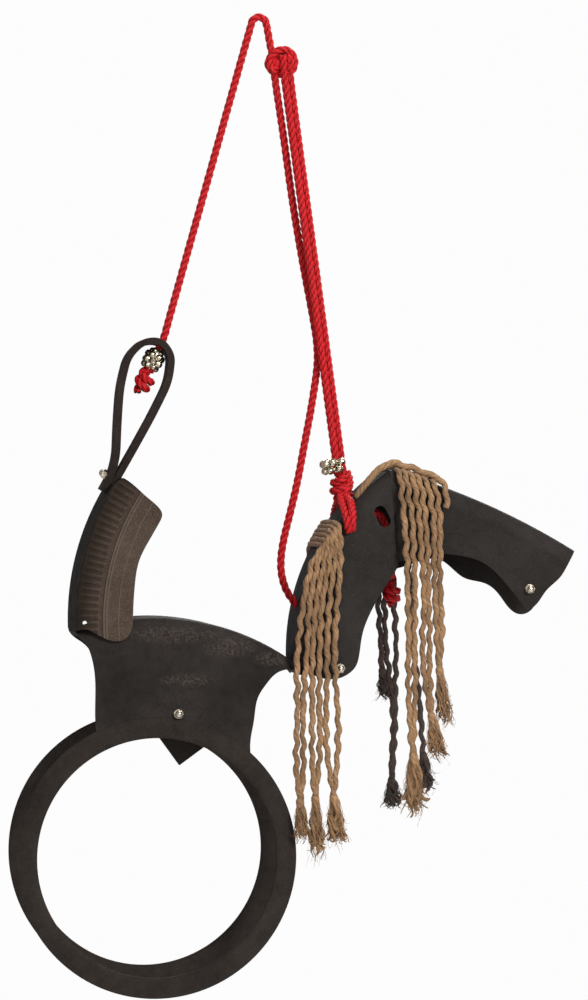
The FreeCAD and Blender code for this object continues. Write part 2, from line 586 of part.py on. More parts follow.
def tassel(top, foot, radius):
    """The frayed end of a lock: a whipped neck that opens into a brush."""
    top, foot = Vec(*top), Vec(*foot)
    direction = (foot - top).normalize()
    length = (foot - top).Length
    profile = [(0, -4), (6.5, -4), (7.0, 10), (0.75 * radius, 0.35 * length), (radius, 0.72 * length),
               (0.82 * radius, length), (0, length)]
    face = Part.Face(Part.Wire(lines([Vec(r, 0, along) for r, along in profile + profile[:1]])))
    solid = face.revolve(Vec(0, 0, 0), Vec(0, 0, 1), 360)
    solid.Placement = FreeCAD.Placement(top, FreeCAD.Rotation(Vec(0, 0, 1), direction))
    return solid


def band_over(circle, xs, half_width, level):
    """A strand across the crown, from one flank to the other, ending just above the hanging strands."""
    near_x, crown_x, far_x = xs
    degrees = math.degrees(math.acos((crown_x - circle[0]) / circle[2]))
    high = JUTE_D / 2 + 0.8
    places = [(-half_width + 7, 1), (-half_width + 30, high), (0, high + 1.5), (half_width - 30, high),
              (half_width - 7, 1)]
    crown = [on_circle(circle, degrees, y, out) for y, out in places]
    ends = []
    for end_x, side in ((near_x, -1), (far_x, 1)):
        foot = level + LOCK_GAP
        if end_x is None:
            end_x, foot = crown_x, crown[0].z - FAR_TAIL
        shoulder = (0.6 * end_x + 0.4 * crown_x, side * (half_width + 6.3), crown[0].z - 11)
        ends.append([(end_x, side * (half_width + 7), foot), shoulder])
    return ends[0] + [tuple(p) for p in crown] + ends[1][::-1]


def mane_nodes():
    nodes = {}
    bunches = (("neck_mane", NECK_MANE, NECK_TASSELS), ("near_forelock", NEAR_FORELOCK, NEAR_TASSELS),
               ("far_forelock", FAR_FORELOCK, FAR_TASSELS))
    for name, strands, tassels in bunches:
        for i, points in enumerate(strands, 1):
            nodes[f"{name}_strand_{i}"] = cord(f"{name}_strand_{i}", points, JUTE_D)
        nodes[f"{name}_tassels"] = Part.makeCompound([tassel(*t) for t in tassels])
    return nodes


def band_nodes():
    """The parts of the locks that stay put: over the head's crown, over the neck's and along the poll."""
    forelock = [cord("forelock_band", band_over(HEAD_CIRCLE, xs, CREST_HALF_WIDTH, FORELOCK_TOP), JUTE_D)
                for xs in FORELOCK_BANDS]
    neck_mane = [cord("neck_band", band_over(NECK_CIRCLE, xs, CREST_HALF_WIDTH, NECK_MANE_TOP), JUTE_D)
                 for xs in NECK_BANDS]
    return {
        "forelock_bands": Part.makeCompound(forelock),
        "neck_mane_bands": Part.makeCompound(neck_mane),
        "crest_lock": cord("crest_lock", CREST_LOCK, JUTE_D + 2),
    }


def rubber_nodes():
    body = saddle()
    rear = backrest(body)
    return {
        "saddle": body,
        "near_hoop": hoop(-1),
        "far_hoop": hoop(1),
        "backrest": rear,
        "backrest_strap": finished_strap(rear),
        "neck": neck(body),
        "head": head(),
        "spacer_block": spacer_block(),
    }


def main():
    os.makedirs("parts", exist_ok=True)
    nodes = {}
    for group in (rubber_nodes(), fasteners(), rope_nodes(), bell_nodes(), band_nodes(), mane_nodes()):
        nodes.update(group)
    for name, shape in nodes.items():
        if not shape.isValid():
            print("NOT VALID", name)
        shape.exportStep(f"parts/{name}.step")
    print(len(nodes), "nodes")


main()
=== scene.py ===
import math
import random

import bpy
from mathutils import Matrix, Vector


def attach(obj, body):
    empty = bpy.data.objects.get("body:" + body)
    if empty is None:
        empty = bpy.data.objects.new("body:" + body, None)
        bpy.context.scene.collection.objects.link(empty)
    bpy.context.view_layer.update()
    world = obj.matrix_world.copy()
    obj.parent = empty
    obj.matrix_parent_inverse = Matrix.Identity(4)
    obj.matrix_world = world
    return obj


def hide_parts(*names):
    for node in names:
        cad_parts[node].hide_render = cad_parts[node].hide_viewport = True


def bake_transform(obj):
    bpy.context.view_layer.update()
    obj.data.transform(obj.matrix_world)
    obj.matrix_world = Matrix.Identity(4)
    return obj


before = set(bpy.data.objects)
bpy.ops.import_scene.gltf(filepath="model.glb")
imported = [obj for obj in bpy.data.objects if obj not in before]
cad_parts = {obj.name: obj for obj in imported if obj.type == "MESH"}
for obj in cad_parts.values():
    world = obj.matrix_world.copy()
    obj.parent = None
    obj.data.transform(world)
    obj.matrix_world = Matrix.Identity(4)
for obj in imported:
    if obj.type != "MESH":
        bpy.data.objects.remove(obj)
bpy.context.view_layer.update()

# A pony swing folded out of one car tyre, hung on a twisted red rope, with a jute mane and bells.
# Metres, in the frame of the CAD: +X to the head, +Z up, the near flank faces -Y.

ACROSS = Vector((0, 1, 0))

# ---- the hoops' centre (x, z), and the circles of the strip's crown (x, z, radius) ----
HOOP_CENTRE = (-0.175, -1.334)
BACKREST_CIRCLE = (0.111, -0.9584, 0.414)
NECK_CIRCLE = (0.4155, -1.013, 0.363)
HEAD_CIRCLE = (-0.097, -1.83, 1.152)

# ---- the rope and the jute ----
ROPE_D = 0.0127
ROPE_PITCH = 0.036  # how far along a ply goes in one turn
ROPE_STEP = 0.0021  # from ring to ring of a rope's mesh
KNOT_STEP = 0.16  # the same in a knot, of its rope's diameter
JUTE_D = 0.0096
CREST_D = 0.0092  # the lock that lies along the poll
JUTE_PITCH = 0.034
JUTE_STEP = 0.0022
JUTE_RISE = 0.0021  # how far a lock's crimp stands off its route
PLIES = 3
PLY_SIDES = 10  # of a ply's own tube
LAY = 0.46  # a ply's distance from the rope's middle, of the rope's radius
JUTE_LAY = 0.27  # the same for jute, whose plies nearly run together
PLY_REACH = 1.02  # how far out a ply's own surface comes, of the rope's radius
CRIMP_START = 0.03  # along a yarn, to where its crimp starts
CRIMP_FADE = 0.06  # from there to the full crimp

# ---- where a lock crosses the strip ----
OVER_SHOULDER = ((-0.002, 0.0058), (0.056, 0.0043), (0.079, 0.001))  # y, and height above the crown
FLANK_Y = 0.0923  # the first point below the shoulder
FLANK_DROP = 0.011
FAR_KNOT_Y = 0.093  # the small knots of the locks that end on the far flank
FAR_KNOT_DROP = 0.028

# ---- routes, and the places of knots and tassels ----
SLING = [(0.024, -0.0035, -0.056), (0.0205, -0.001, -0.044), (0.0182, 0, -0.031), (0.0138, 0, -0.0075),
         (0.0113, 0, 0.0068), (0.0042, 0, 0.0124), (-0.0042, 0, 0.0124), (-0.011, 0, 0.007), (-0.0139, 0, -0.004),
         (-0.033, 0, -0.0722), (-0.134, 0, -0.433), (-0.1475, 0, -0.4812), (-0.155, 0, -0.5095),
         (-0.1685, 0, -0.5354), (-0.1835, 0, -0.5641)]
BELL_AXIS = Vector((-0.4625, 0, -0.8865)).normalized()
STRAP_HOLE = Vector((-0.155, 0, -0.5095))
REAR_KNOT = Vector((-0.1885, 0, -0.5737))
CROWN_KNOT = Vector((0.035, 0, -0.061))
FRONT_KNOT = Vector((0.1345, 0, -0.75))
INNER_KNOT = Vector((0.217, 0, -0.915))
REIN_KNOT = Vector((0.088, 0, -0.962))
REAR_STRAND = [(0.0365, -0.015, -0.05), (0.0378, -0.015, -0.066), (0.0405, -0.006, -0.086),
               (0.0847, -0.00375, -0.4055), (0.1282, -0.00375, -0.727)]
FORE_STRAND = [(0.0468, -0.012, -0.052), (0.0483, -0.011, -0.068), (0.0512, 0.0015, -0.088),
               (0.0953, 0.00375, -0.4055), (0.1388, 0.00375, -0.727)]
NECK_MANE = [
    [(0.074, -0.093, -0.862), (0.064, -0.096, -0.896), (0.057, -0.098, -0.935), (0.051, -0.099, -0.979),
     (0.046, -0.1, -1.029), (0.048, -0.101, -1.086), (0.046, -0.102, -1.149), (0.045, -0.103, -1.199),
     (0.051, -0.104, -1.242)],
    [(0.084, -0.093, -0.862), (0.074, -0.096, -0.896), (0.067, -0.098, -0.935), (0.065, -0.098, -0.99),
     (0.061, -0.099, -1.04), (0.057, -0.1, -1.086), (0.056, -0.102, -1.149), (0.058, -0.103, -1.198),
     (0.052, -0.104, -1.242)],
    [(0.093, -0.093, -0.862), (0.084, -0.095, -0.898), (0.077, -0.097, -0.94), (0.073, -0.098, -0.99),
     (0.071, -0.099, -1.053), (0.072, -0.1, -1.117), (0.07, -0.103, -1.181), (0.074, -0.108, -1.237)],
    [(0.102, -0.093, -0.862), (0.094, -0.095, -0.896), (0.086, -0.097, -0.94), (0.084, -0.098, -1.006),
     (0.082, -0.1, -1.085), (0.085, -0.101, -1.149), (0.08, -0.104, -1.21), (0.075, -0.108, -1.237)],
    [(0.11, -0.093, -0.862), (0.104, -0.095, -0.896), (0.099, -0.096, -0.94), (0.096, -0.097, -0.99),
     (0.096, -0.098, -1.053), (0.093, -0.1, -1.117), (0.095, -0.102, -1.18), (0.105, -0.104, -1.235)],
    [(0.118, -0.093, -0.862), (0.116, -0.095, -0.896), (0.112, -0.096, -0.94), (0.108, -0.097, -0.99),
     (0.109, -0.098, -1.053), (0.114, -0.1, -1.117), (0.112, -0.102, -1.181), (0.106, -0.104, -1.235)],
]
NEAR_FORELOCK = [
    [(0.218, -0.093, -0.764), (0.221, -0.095, -0.795), (0.225, -0.097, -0.854), (0.226, -0.098, -0.918),
     (0.228, -0.099, -0.982), (0.226, -0.1, -1.054), (0.229, -0.101, -1.117), (0.233, -0.102, -1.17)],
    [(0.229, -0.093, -0.764), (0.235, -0.095, -0.795), (0.236, -0.097, -0.854), (0.239, -0.098, -0.918),
     (0.236, -0.099, -0.99), (0.238, -0.1, -1.069), (0.236, -0.101, -1.12), (0.234, -0.102, -1.17)],
    [(0.241, -0.093, -0.764), (0.246, -0.095, -0.795), (0.249, -0.097, -0.854), (0.254, -0.098, -0.926),
     (0.249, -0.099, -0.99), (0.252, -0.101, -1.053), (0.262, -0.104, -1.108)],
    [(0.252, -0.093, -0.764), (0.256, -0.095, -0.8), (0.26, -0.097, -0.862), (0.259, -0.098, -0.926),
     (0.262, -0.099, -0.99), (0.26, -0.101, -1.053), (0.264, -0.104, -1.108)],
    [(0.264, -0.093, -0.764), (0.27, -0.095, -0.798), (0.269, -0.097, -0.862), (0.271, -0.098, -0.926),
     (0.273, -0.099, -0.985), (0.276, -0.1, -1.035)],
    [(0.276, -0.093, -0.764), (0.28, -0.095, -0.802), (0.278, -0.097, -0.866), (0.28, -0.098, -0.93),
     (0.282, -0.099, -0.988), (0.277, -0.1, -1.035)],
]
FAR_FORELOCK = [
    [(0.216, 0.093, -0.764), (0.213, 0.096, -0.8), (0.214, 0.098, -0.87), (0.212, 0.099, -0.944), (0.217, 0.1, -1),
     (0.219, 0.101, -1.045)],
    [(0.229, 0.093, -0.764), (0.225, 0.096, -0.8), (0.222, 0.097, -0.87), (0.223, 0.098, -0.944),
     (0.224, 0.099, -0.996), (0.231, 0.1, -1.06), (0.239, 0.101, -1.127), (0.236, 0.102, -1.177),
     (0.235, 0.103, -1.226)],
    [(0.241, 0.093, -0.764), (0.237, 0.096, -0.8), (0.237, 0.097, -0.87), (0.239, 0.098, -0.944),
     (0.243, 0.099, -1.012), (0.24, 0.1, -1.078), (0.242, 0.101, -1.14), (0.236, 0.103, -1.226)],
    [(0.252, 0.093, -0.764), (0.256, 0.096, -0.8), (0.262, 0.097, -0.87), (0.268, 0.098, -0.944),
     (0.274, 0.099, -1.03), (0.283, 0.1, -1.11), (0.288, 0.101, -1.185)],
]
NECK_TASSELS = [((0.051, -0.104, -1.242), (0.058, -0.104, -1.321), 0.0105),
                ((0.075, -0.108, -1.237), (0.08, -0.117, -1.353), 0.012),
                ((0.105, -0.104, -1.235), (0.113, -0.106, -1.334), 0.0145)]
NEAR_TASSELS = [((0.234, -0.102, -1.17), (0.237, -0.104, -1.291), 0.016),
                ((0.263, -0.104, -1.108), (0.275, -0.119, -1.197), 0.0125),
                ((0.277, -0.1, -1.035), (0.29, -0.098, -1.146), 0.011)]
FAR_TASSELS = [((0.235, 0.103, -1.226), (0.24, 0.105, -1.283), 0.014),
               ((0.219, 0.101, -1.045), (0.229, 0.102, -1.108), 0.012),
               ((0.288, 0.101, -1.185), (0.296, 0.103, -1.262), 0.013)]
REIN_PATH = [(0.0235, -0.001, -0.066), (0.0255, 0, -0.085), (0.041, 0.009, -0.175), (0.056, 0.013, -0.282),
             (0.074, 0.015, -0.385), (0.089, 0.015, -0.462), (0.097, 0.014, -0.51), (0.098, 0.013, -0.545),
             (0.093, 0.01, -0.58), (0.084, 0.007, -0.632), (0.073, 0.004, -0.686), (0.064, 0.002, -0.734),
             (0.051, 0, -0.788), (0.04, 0, -0.83), (0.035, 0, -0.864), (0.037, 0, -0.893), (0.049, 0, -0.924),
             (0.074, 0, -0.95)]
YOKE_PATH = [(0.139, 0.017, -0.758), (0.14, 0.038, -0.766), (0.139, 0.068, -0.77), (0.138, 0.09, -0.782),
             (0.137, 0.098, -0.799), (0.137, 0.091, -0.813), (0.141, 0.074, -0.811), (0.153, 0.06, -0.797),
             (0.171, 0.052, -0.784), (0.19, 0.047, -0.789), (0.203, 0.043, -0.812), (0.208, 0.037, -0.842),
             (0.211, 0.025, -0.87), (0.215, 0.008, -0.893)]
CREST_LOCK = [(0.15, -0.052, -0.762), (0.168, -0.056, -0.736), (0.186, -0.06, -0.716), (0.204, -0.062, -0.7072),
              (0.224, -0.062, -0.7099), (0.246, -0.064, -0.718), (0.268, -0.068, -0.7264), (0.281, -0.075, -0.7315),
              (0.289, -0.086, -0.744), (0.29, -0.094, -0.76), (0.2885, -0.0965, -0.778)]

# X of each lock where it crosses its crown
NECK_CROWN_X = [0.096, 0.1002, 0.1044, 0.1087, 0.113, 0.1173]
FORELOCK_CROWN_X = [0.213, 0.2225, 0.2325, 0.243, 0.255, 0.269]
FAR_FORELOCK_CROWN_X = FORELOCK_CROWN_X[:4]


# ======== geometry helpers ========

def nurbs_line(name, points):
    """The points along a smooth NURBS curve through the route, as Blender itself evaluates it."""
    data = bpy.data.curves.new(name + "_route", "CURVE")
    data.dimensions = "3D"
    data.resolution_u = 14
    spline = data.splines.new("NURBS")
    spline.points.add(len(points) - 1)
    for target, source in zip(spline.points, points):
        target.co = (*source, 1)
    spline.order_u = 3
    spline.use_endpoint_u = True
    holder = bpy.data.objects.new(name + "_route", data)
    mesh = bpy.data.meshes.new_from_object(holder)
    line = [v.co.copy() for v in mesh.vertices]
    bpy.data.objects.remove(holder)
    bpy.data.curves.remove(data)
    bpy.data.meshes.remove(mesh)
    return line


def resample(line, step):
    """The same line with even steps, and the distance along it at each point."""
    lengths = [0.0]
    for a, b in zip(line, line[1:]):
        lengths.append(lengths[-1] + (b - a).length)
    count = max(2, round(lengths[-1] / step))
    out, along, i = [], [], 0
    for k in range(count + 1):
        s = lengths[-1] * k / count
        while i < len(line) - 2 and lengths[i + 1] < s:
            i += 1
        span = lengths[i + 1] - lengths[i] or 1e-9
        out.append(line[i].lerp(line[i + 1], (s - lengths[i]) / span))
        along.append(s)
    return out, along


def frames(line):
    """Two directions across the line at every point, turning as little as they can."""
    tangents = []
    for i in range(len(line)):
        a, b = line[max(i - 1, 0)], line[min(i + 1, len(line) - 1)]
        tangents.append((b - a).normalized())
    normal = tangents[0].cross(ACROSS)
    if normal.length < 0.1:
        normal = tangents[0].cross(Vector((1, 0, 0)))
    out = []
    for t in tangents:
        normal = (normal - t * normal.dot(t)).normalized()
        out.append((normal.copy(), t.cross(normal)))
    return out


def ring(centre, side, up, radius, count):
    turns = (2 * math.pi * k / count for k in range(count))
    return [centre + (side * math.cos(a) + up * math.sin(a)) * radius for a in turns]


def put_in_scene(thing):
    bpy.context.scene.collection.objects.link(thing)
    return thing


class Mesh:
    """Collects tubes and sheets of quads, with UVs in metres along and turns around."""

    def __init__(self):
        self.points, self.faces, self.uvs, self.proud = [], [], [], {}

    def grid(self, rows, uv_rows, closed):
        """Quads between rows of points, and the number of the first point."""
        start = len(self.points)
        width = len(rows[0])
        for row in rows:
            self.points.extend(row)
        columns = width if closed else width - 1
        for r in range(len(rows) - 1):
            for c in range(columns):
                d = (c + 1) % width
                a, b = start + r * width, start + (r + 1) * width
                self.faces.append((a + c, a + d, b + d, b + c))
                u0, u1 = uv_rows[r], uv_rows[r + 1]
                v0, v1 = c / width, (c + 1) / width
                self.uvs.extend(((u0, v0), (u0, v1), (u1, v1), (u1, v0)))
        return start

    def tube(self, line, along, radii, sides, middle=None, reach=1.0):
        """A round tube with closed ends. Given a middle line, notes its points' distance from it, over reach."""
        rows = [ring(p, n, b, radius, sides) for p, (n, b), radius in zip(line, frames(line), radii)]
        start = self.grid(rows, along, True)
        if middle:
            for r, row in enumerate(rows):
                for k, p in enumerate(row):
                    self.proud[start + r * sides + k] = (p - middle[r]).length / reach
        last = start + (len(rows) - 1) * sides
        self.faces.append(tuple(start + k for k in reversed(range(sides))))
        self.faces.append(tuple(last + k for k in range(sides)))
        self.uvs.extend([(along[0], 0.5)] * sides + [(along[-1], 0.5)] * sides)

    def lathe(self, centre, axis, profile, segments):
        """Revolves (radius, distance along axis) pairs about an axis."""
        axis = Vector(axis).normalized()
        side = axis.cross(Vector((0.3, 0.2, 1))).normalized()
        up = axis.cross(side)
        rows = [ring(Vector(centre) + axis * along, side, up, radius, segments) for radius, along in profile]
        self.grid(rows, [along for _, along in profile], True)

    def finish(self, name, material):
        """The piece itself, smooth shaded, with how proud each point stands as an attribute."""
        data = bpy.data.meshes.new(name)
        data.from_pydata([tuple(p) for p in self.points], [], self.faces)
        layer = data.uv_layers.new(name="UVMap")
        layer.data.foreach_set("uv", [c for uv in self.uvs for c in uv])
        proud = data.attributes.new("proud", "FLOAT", "POINT")
        proud.data.foreach_set("value", [self.proud.get(i, 1.0) for i in range(len(self.points))])
        data.polygons.foreach_set("use_smooth", [True] * len(data.polygons))
        data.materials.append(material)
        data.validate()
        return put_in_scene(bpy.data.objects.new(name, data))


def twist(mesh, line, along, diameter, pitch, hand=1, taper=None, share_out=LAY):
    """Plies laid round a centreline, as in a twisted rope; hand is 1 or -1, and taper scales each point."""
    radius = diameter / 2
    lay = radius * share_out
    across = frames(line)
    for ply in range(PLIES):
        centres, radii = [], []
        for i, (p, s) in enumerate(zip(line, along)):
            a = hand * 2 * math.pi * s / pitch + 2 * math.pi * ply / PLIES
            n, b = across[i]
            share = taper[i] if taper else 1.0
            centres.append(p + (n * math.cos(a) + b * math.sin(a)) * lay * share)
            radii.append(radius * (PLY_REACH - share_out) * share)
        mesh.tube(centres, along, radii, PLY_SIDES, line, radius)


def wavy(line, along, rise, wavelength, phase):
    """A crimped yarn that keeps the shape of the rope it was unlaid from: a long shallow helix."""
    out = []
    for p, (n, b), s in zip(line, frames(line), along):
        size = rise * min(1.0, max(0.0, (s - CRIMP_START) / CRIMP_FADE))
        size *= 0.85 + 0.35 * math.sin(1.9 * s / wavelength + 2.3 * phase)
        a = 2 * math.pi * (s / wavelength + 0.05 * math.sin(13 * s + phase)) + phase
        out.append(p + n * math.cos(a) * size + b * math.sin(a) * size * 0.8)
    return out


def crown_point(circle, x, y, out):
    """The point at x on a crown's circle, moved out from it and to y."""
    cx, cz, radius = circle
    up = math.sqrt(radius ** 2 - (x - cx) ** 2)
    return (cx + (x - cx) * (radius + out) / radius, y, cz + up * (radius + out) / radius)


def over_crown(circle, crown_x, end_x, side):
    """From the middle of a crown over its shoulder to the flank."""
    crown = [crown_point(circle, crown_x, side * y, out) for y, out in OVER_SHOULDER]
    return crown + [(0.6 * end_x + 0.4 * crown_x, side * FLANK_Y, crown[-1][2] - FLANK_DROP)]


def barrel_line(centre, axis, length, width, rope, turns, count=40):
    """A rope wound round and round a barrel, from one end to the other; count points to a turn."""
    axis = Vector(axis).normalized()
    side = axis.cross(ACROSS).normalized()
    up = axis.cross(side)
    line = []
    total = round(turns * count)
    for k in range(total + 1):
        t = k / total
        a = 2 * math.pi * turns * t
        swell = math.sin(math.pi * (0.12 + 0.76 * t)) ** 0.6
        r = (width / 2 - rope / 2) * swell
        line.append(Vector(centre) + (side * math.cos(a) + up * math.sin(a)) * r
                    + axis * ((length - rope) * (t - 0.5) + 0.18 * rope * math.sin(a)))
    return line


def placed(centre, axis, points, scale):
    """Points of a knot, given as (across, towards the near side, along), put at its place."""
    axis = Vector(axis).normalized()
    side = ACROSS.cross(axis).normalized()
    near = axis.cross(side)
    return [Vector(centre) + (side * x + near * y + axis * z) * scale for x, y, z in points]


# ======== materials ========

class Nodes:
    """A small shorthand for building a procedural material."""

    def __init__(self, name):
        self.material = bpy.data.materials.new(name)
        self.material.use_nodes = True
        self.tree = self.material.node_tree
        self.shader = self.tree.nodes["Principled BSDF"]
        self.coords = self.tree.nodes.new("ShaderNodeTexCoord")

    def add(self, kind, **values):
        node = self.tree.nodes.new(kind)
        for key, value in values.items():
            if hasattr(node, key):
                setattr(node, key, value)
            else:
                node.inputs[key.replace("_", " ")].default_value = value
        return node

    def join(self, source, target):
        self.tree.links.new(source, target)

    def split(self, kind):
        """X, Y and Z of the object's own coordinates, or of its UVs."""
        node = self.add("ShaderNodeSeparateXYZ")
        self.join(self.coords.outputs[kind], node.inputs[0])
        return node.outputs

    def set(self, **values):
        for key, value in values.items():
            self.shader.inputs[key.replace("_", " ")].default_value = value

    def noise(self, scale, detail=4.0, rough=0.55, vector=None):
        node = self.add("ShaderNodeTexNoise", Scale=scale, Detail=detail, Roughness=rough)
        self.join(vector or self.coords.outputs["Object"], node.inputs["Vector"])
        return node.outputs["Fac"]

    def ramp(self, source, stops):
        node = self.add("ShaderNodeValToRGB")
        while len(node.color_ramp.elements) < len(stops):
            node.color_ramp.elements.new(0.5)
        for element, (place, colour) in zip(node.color_ramp.elements, stops):
            element.position = place
            element.color = (*colour, 1)
        self.join(source, node.inputs["Fac"])
        return node.outputs["Color"]

    def grey(self, source, low, high, start, end):
        """Low where the source is at start or before, high where it is at end or past it."""
        node = self.add("ShaderNodeMapRange")
        for key, value in (("From Min", start), ("From Max", end), ("To Min", low), ("To Max", high)):
            node.inputs[key].default_value = value
        self.join(source, node.inputs["Value"])
        return node.outputs["Result"]

    def mix(self, factor, a, b):
        node = self.add("ShaderNodeMix", data_type="RGBA")
        for value, slot in ((factor, 0), (a, 6), (b, 7)):
            if isinstance(value, (float, int)):
                node.inputs[slot].default_value = value
            elif isinstance(value, tuple):
                node.inputs[slot].default_value = (*value, 1)
            else:
                self.join(value, node.inputs[slot])
        return node.outputs[2]

    def maths(self, operation, a, b=0.0):
        node = self.add("ShaderNodeMath", operation=operation)
        for value, slot in ((a, 0), (b, 1)):
            if isinstance(value, (float, int)):
                node.inputs[slot].default_value = value
            else:
                self.join(value, node.inputs[slot])
        return node.outputs[0]

    def bump(self, *layers):
        """Layers of (height, strength, depth in metres), one on top of another; below 0 a strength cuts in."""
        last = None
        for height, strength, depth in layers:
            node = self.add("ShaderNodeBump")
            node.inputs["Strength"].default_value = abs(strength)
            node.invert = strength < 0
            node.inputs["Distance"].default_value = depth
            self.join(height, node.inputs["Height"])
            if last:
                self.join(last, node.inputs["Normal"])
            last = node.outputs["Normal"]
        self.join(last, self.shader.inputs["Normal"])


def darker(colour, share):
    return tuple(c * share for c in colour)


def polar(n, centre):
    """Distance from an axis along Y, the turn about it, and Y itself, as sockets."""
    place = n.split("Object")
    x = n.maths("SUBTRACT", place[0], centre[0])
    z = n.maths("SUBTRACT", place[2], centre[1])
    distance = n.maths("SQRT", n.maths("ADD", n.maths("MULTIPLY", x, x), n.maths("MULTIPLY", z, z)))
    return distance, n.maths("ARCTAN2", z, x), place[1]


def near_value(n, value, middle, half_width):
    """One where the value is near the middle, falling to nothing at half a width from it."""
    away = n.maths("ABSOLUTE", n.maths("SUBTRACT", value, middle))
    return n.grey(away, 1.0, 0.0, half_width * 0.6, half_width)


def tread_ribs(n, circle):
    """The tread's shoulder: grooves and slits across it, and inside them a trench and three raised lines. The
    recesses' mask sets both their bump and their painted shade.
    """
    radius, turn, y = polar(n, circle)
    crown = circle[2]
    spacing = 0.0272  # radians from rib to rib
    first = 200.3  # keeps the ribs' count above 0, and sets where one starts
    wave = n.maths("FRACT", n.maths("ADD", n.maths("DIVIDE", turn, spacing), first))
    groove = near_value(n, wave, 0.5, 0.3)
    slit = near_value(n, wave, 0.02, 0.1)
    on_shoulder = near_value(n, radius, crown - 0.018, 0.019)
    flank = n.grey(n.maths("ABSOLUTE", y), 0.0, 1.0, 0.07, 0.082)
    groove = n.maths("MULTIPLY", n.maths("MULTIPLY", groove, on_shoulder), flank)
    slit = n.maths("MULTIPLY", n.maths("MULTIPLY", slit, on_shoulder), flank)
    lines = near_value(n, radius, crown - 0.0425, 0.0016)
    for depth, half_width in ((0.047, 0.0016), (0.066, 0.0013)):
        lines = n.maths("MAXIMUM", lines, near_value(n, radius, crown - depth, half_width))
    lines = n.maths("MULTIPLY", lines, flank)
    trench = n.maths("MULTIPLY", near_value(n, radius, crown - 0.0378, 0.0032), flank)
    # the recesses, darkened in colour as painted shade as well as cut in by the bump
    dark = n.maths("MAXIMUM", groove, n.maths("MULTIPLY", slit, 0.6))
    dark = n.maths("MAXIMUM", dark, n.maths("MULTIPLY", trench, 0.55))
    return dark, lines, flank


def rubber(name, dark, light, dust, dust_from=0.56, rough=(0.52, 0.78), rings=None, ribs=None, scuffs=()):
    """Old tyre rubber: cloudy colour, a fine skin, small pits and a little dust.

    Rings are (centre, spacing, depth), ribs is the circle of a tread's crown, about which the crown face, the
    shoulder and the grooves get painted shade, and scuffs are ellipses of dust on a flank, (x, z, half width, half
    height).
    """
    n = Nodes(name)
    clouds = n.noise(9.0, 6.0, 0.6)
    streaks = n.noise(60.0, 5.0, 0.65)
    specks = n.noise(620.0, 3.0, 0.55)
    fine = n.noise(1500.0, 2.0, 0.5)
    base = n.ramp(clouds, [(0.3, dark), (0.72, light)])
    base = n.mix(n.grey(streaks, 0.0, 0.5, 0.45, 0.75), base, darker(dark, 0.6))
    worn = n.grey(specks, 0.0, 0.75, dust_from, dust_from + 0.16)
    if scuffs:
        place = n.split("Object")
        scuffed = n.grey(n.noise(11.0, 3.0, 0.5), 0.03, 0.3, 0.42, 0.66)
        for x, z, rx, rz in scuffs:
            across = n.maths("DIVIDE", n.maths("SUBTRACT", place[0], x), rx)
            up = n.maths("DIVIDE", n.maths("SUBTRACT", place[2], z), rz)
            away = n.maths("ADD", n.maths("MULTIPLY", across, across), n.maths("MULTIPLY", up, up))
            scuffed = n.maths("MAXIMUM", scuffed, n.grey(away, 1.0, 0.0, 0.15, 1.0))
        pebbles = n.noise(230.0, 2.0, 0.5)
        worn = n.maths("MULTIPLY", n.maths("MAXIMUM", worn, n.grey(pebbles, 0.0, 0.55, 0.45, 0.66)), scuffed)
    base = n.mix(worn, base, dust)
    layers = [(specks, 0.45, 0.0006), (fine, 0.35, 0.0002), (streaks, 0.35, 0.0012)]
    if rings:
        centre, spacing, depth = rings
        radius, _, _ = polar(n, centre)
        wave = n.maths("SINE", n.maths("MULTIPLY", radius, 2 * math.pi / spacing))
        base = n.mix(n.grey(wave, 0.0, 0.12, 0.1, 0.9), base, dust)
        layers.append((wave, depth, 0.0005))
    if ribs:
        grooves, ridges, flank = tread_ribs(n, ribs)
        # painted shade: darker towards the crown's edge, near black on the crown face, darker in the grooves, slits
        # and trench; the raised lines are painted lighter in the dust colour
        shade = n.grey(polar(n, ribs)[0], 0.0, 0.55, ribs[2] - 0.034, ribs[2] - 0.012)
        shaded = n.mix(shade, base, darker(dark, 0.5))
        base = n.mix(flank, darker(dark, 0.22), shaded)
        base = n.mix(n.maths("MULTIPLY", grooves, 0.55), base, darker(dark, 0.4))
        base = n.mix(n.maths("MULTIPLY", ridges, 0.45), base, dust)
        layers += [(grooves, -0.9, 0.0024), (ridges, 0.8, 0.001)]
    n.join(base, n.shader.inputs["Base Color"])
    n.join(n.grey(streaks, rough[0], rough[1], 0.3, 0.7), n.shader.inputs["Roughness"])
    n.set(Specular_IOR_Level=0.03)
    n.bump(*layers)
    return n.material


def groove_painted_shade(n, base, shade, start, end):
    """Paints shade into the valleys between a rope's plies, all the way at start and not at all from end."""
    proud = n.add("ShaderNodeAttribute", attribute_name="proud")
    return n.mix(n.grey(proud.outputs["Fac"], 1.0, 0.0, start, end), base, shade)


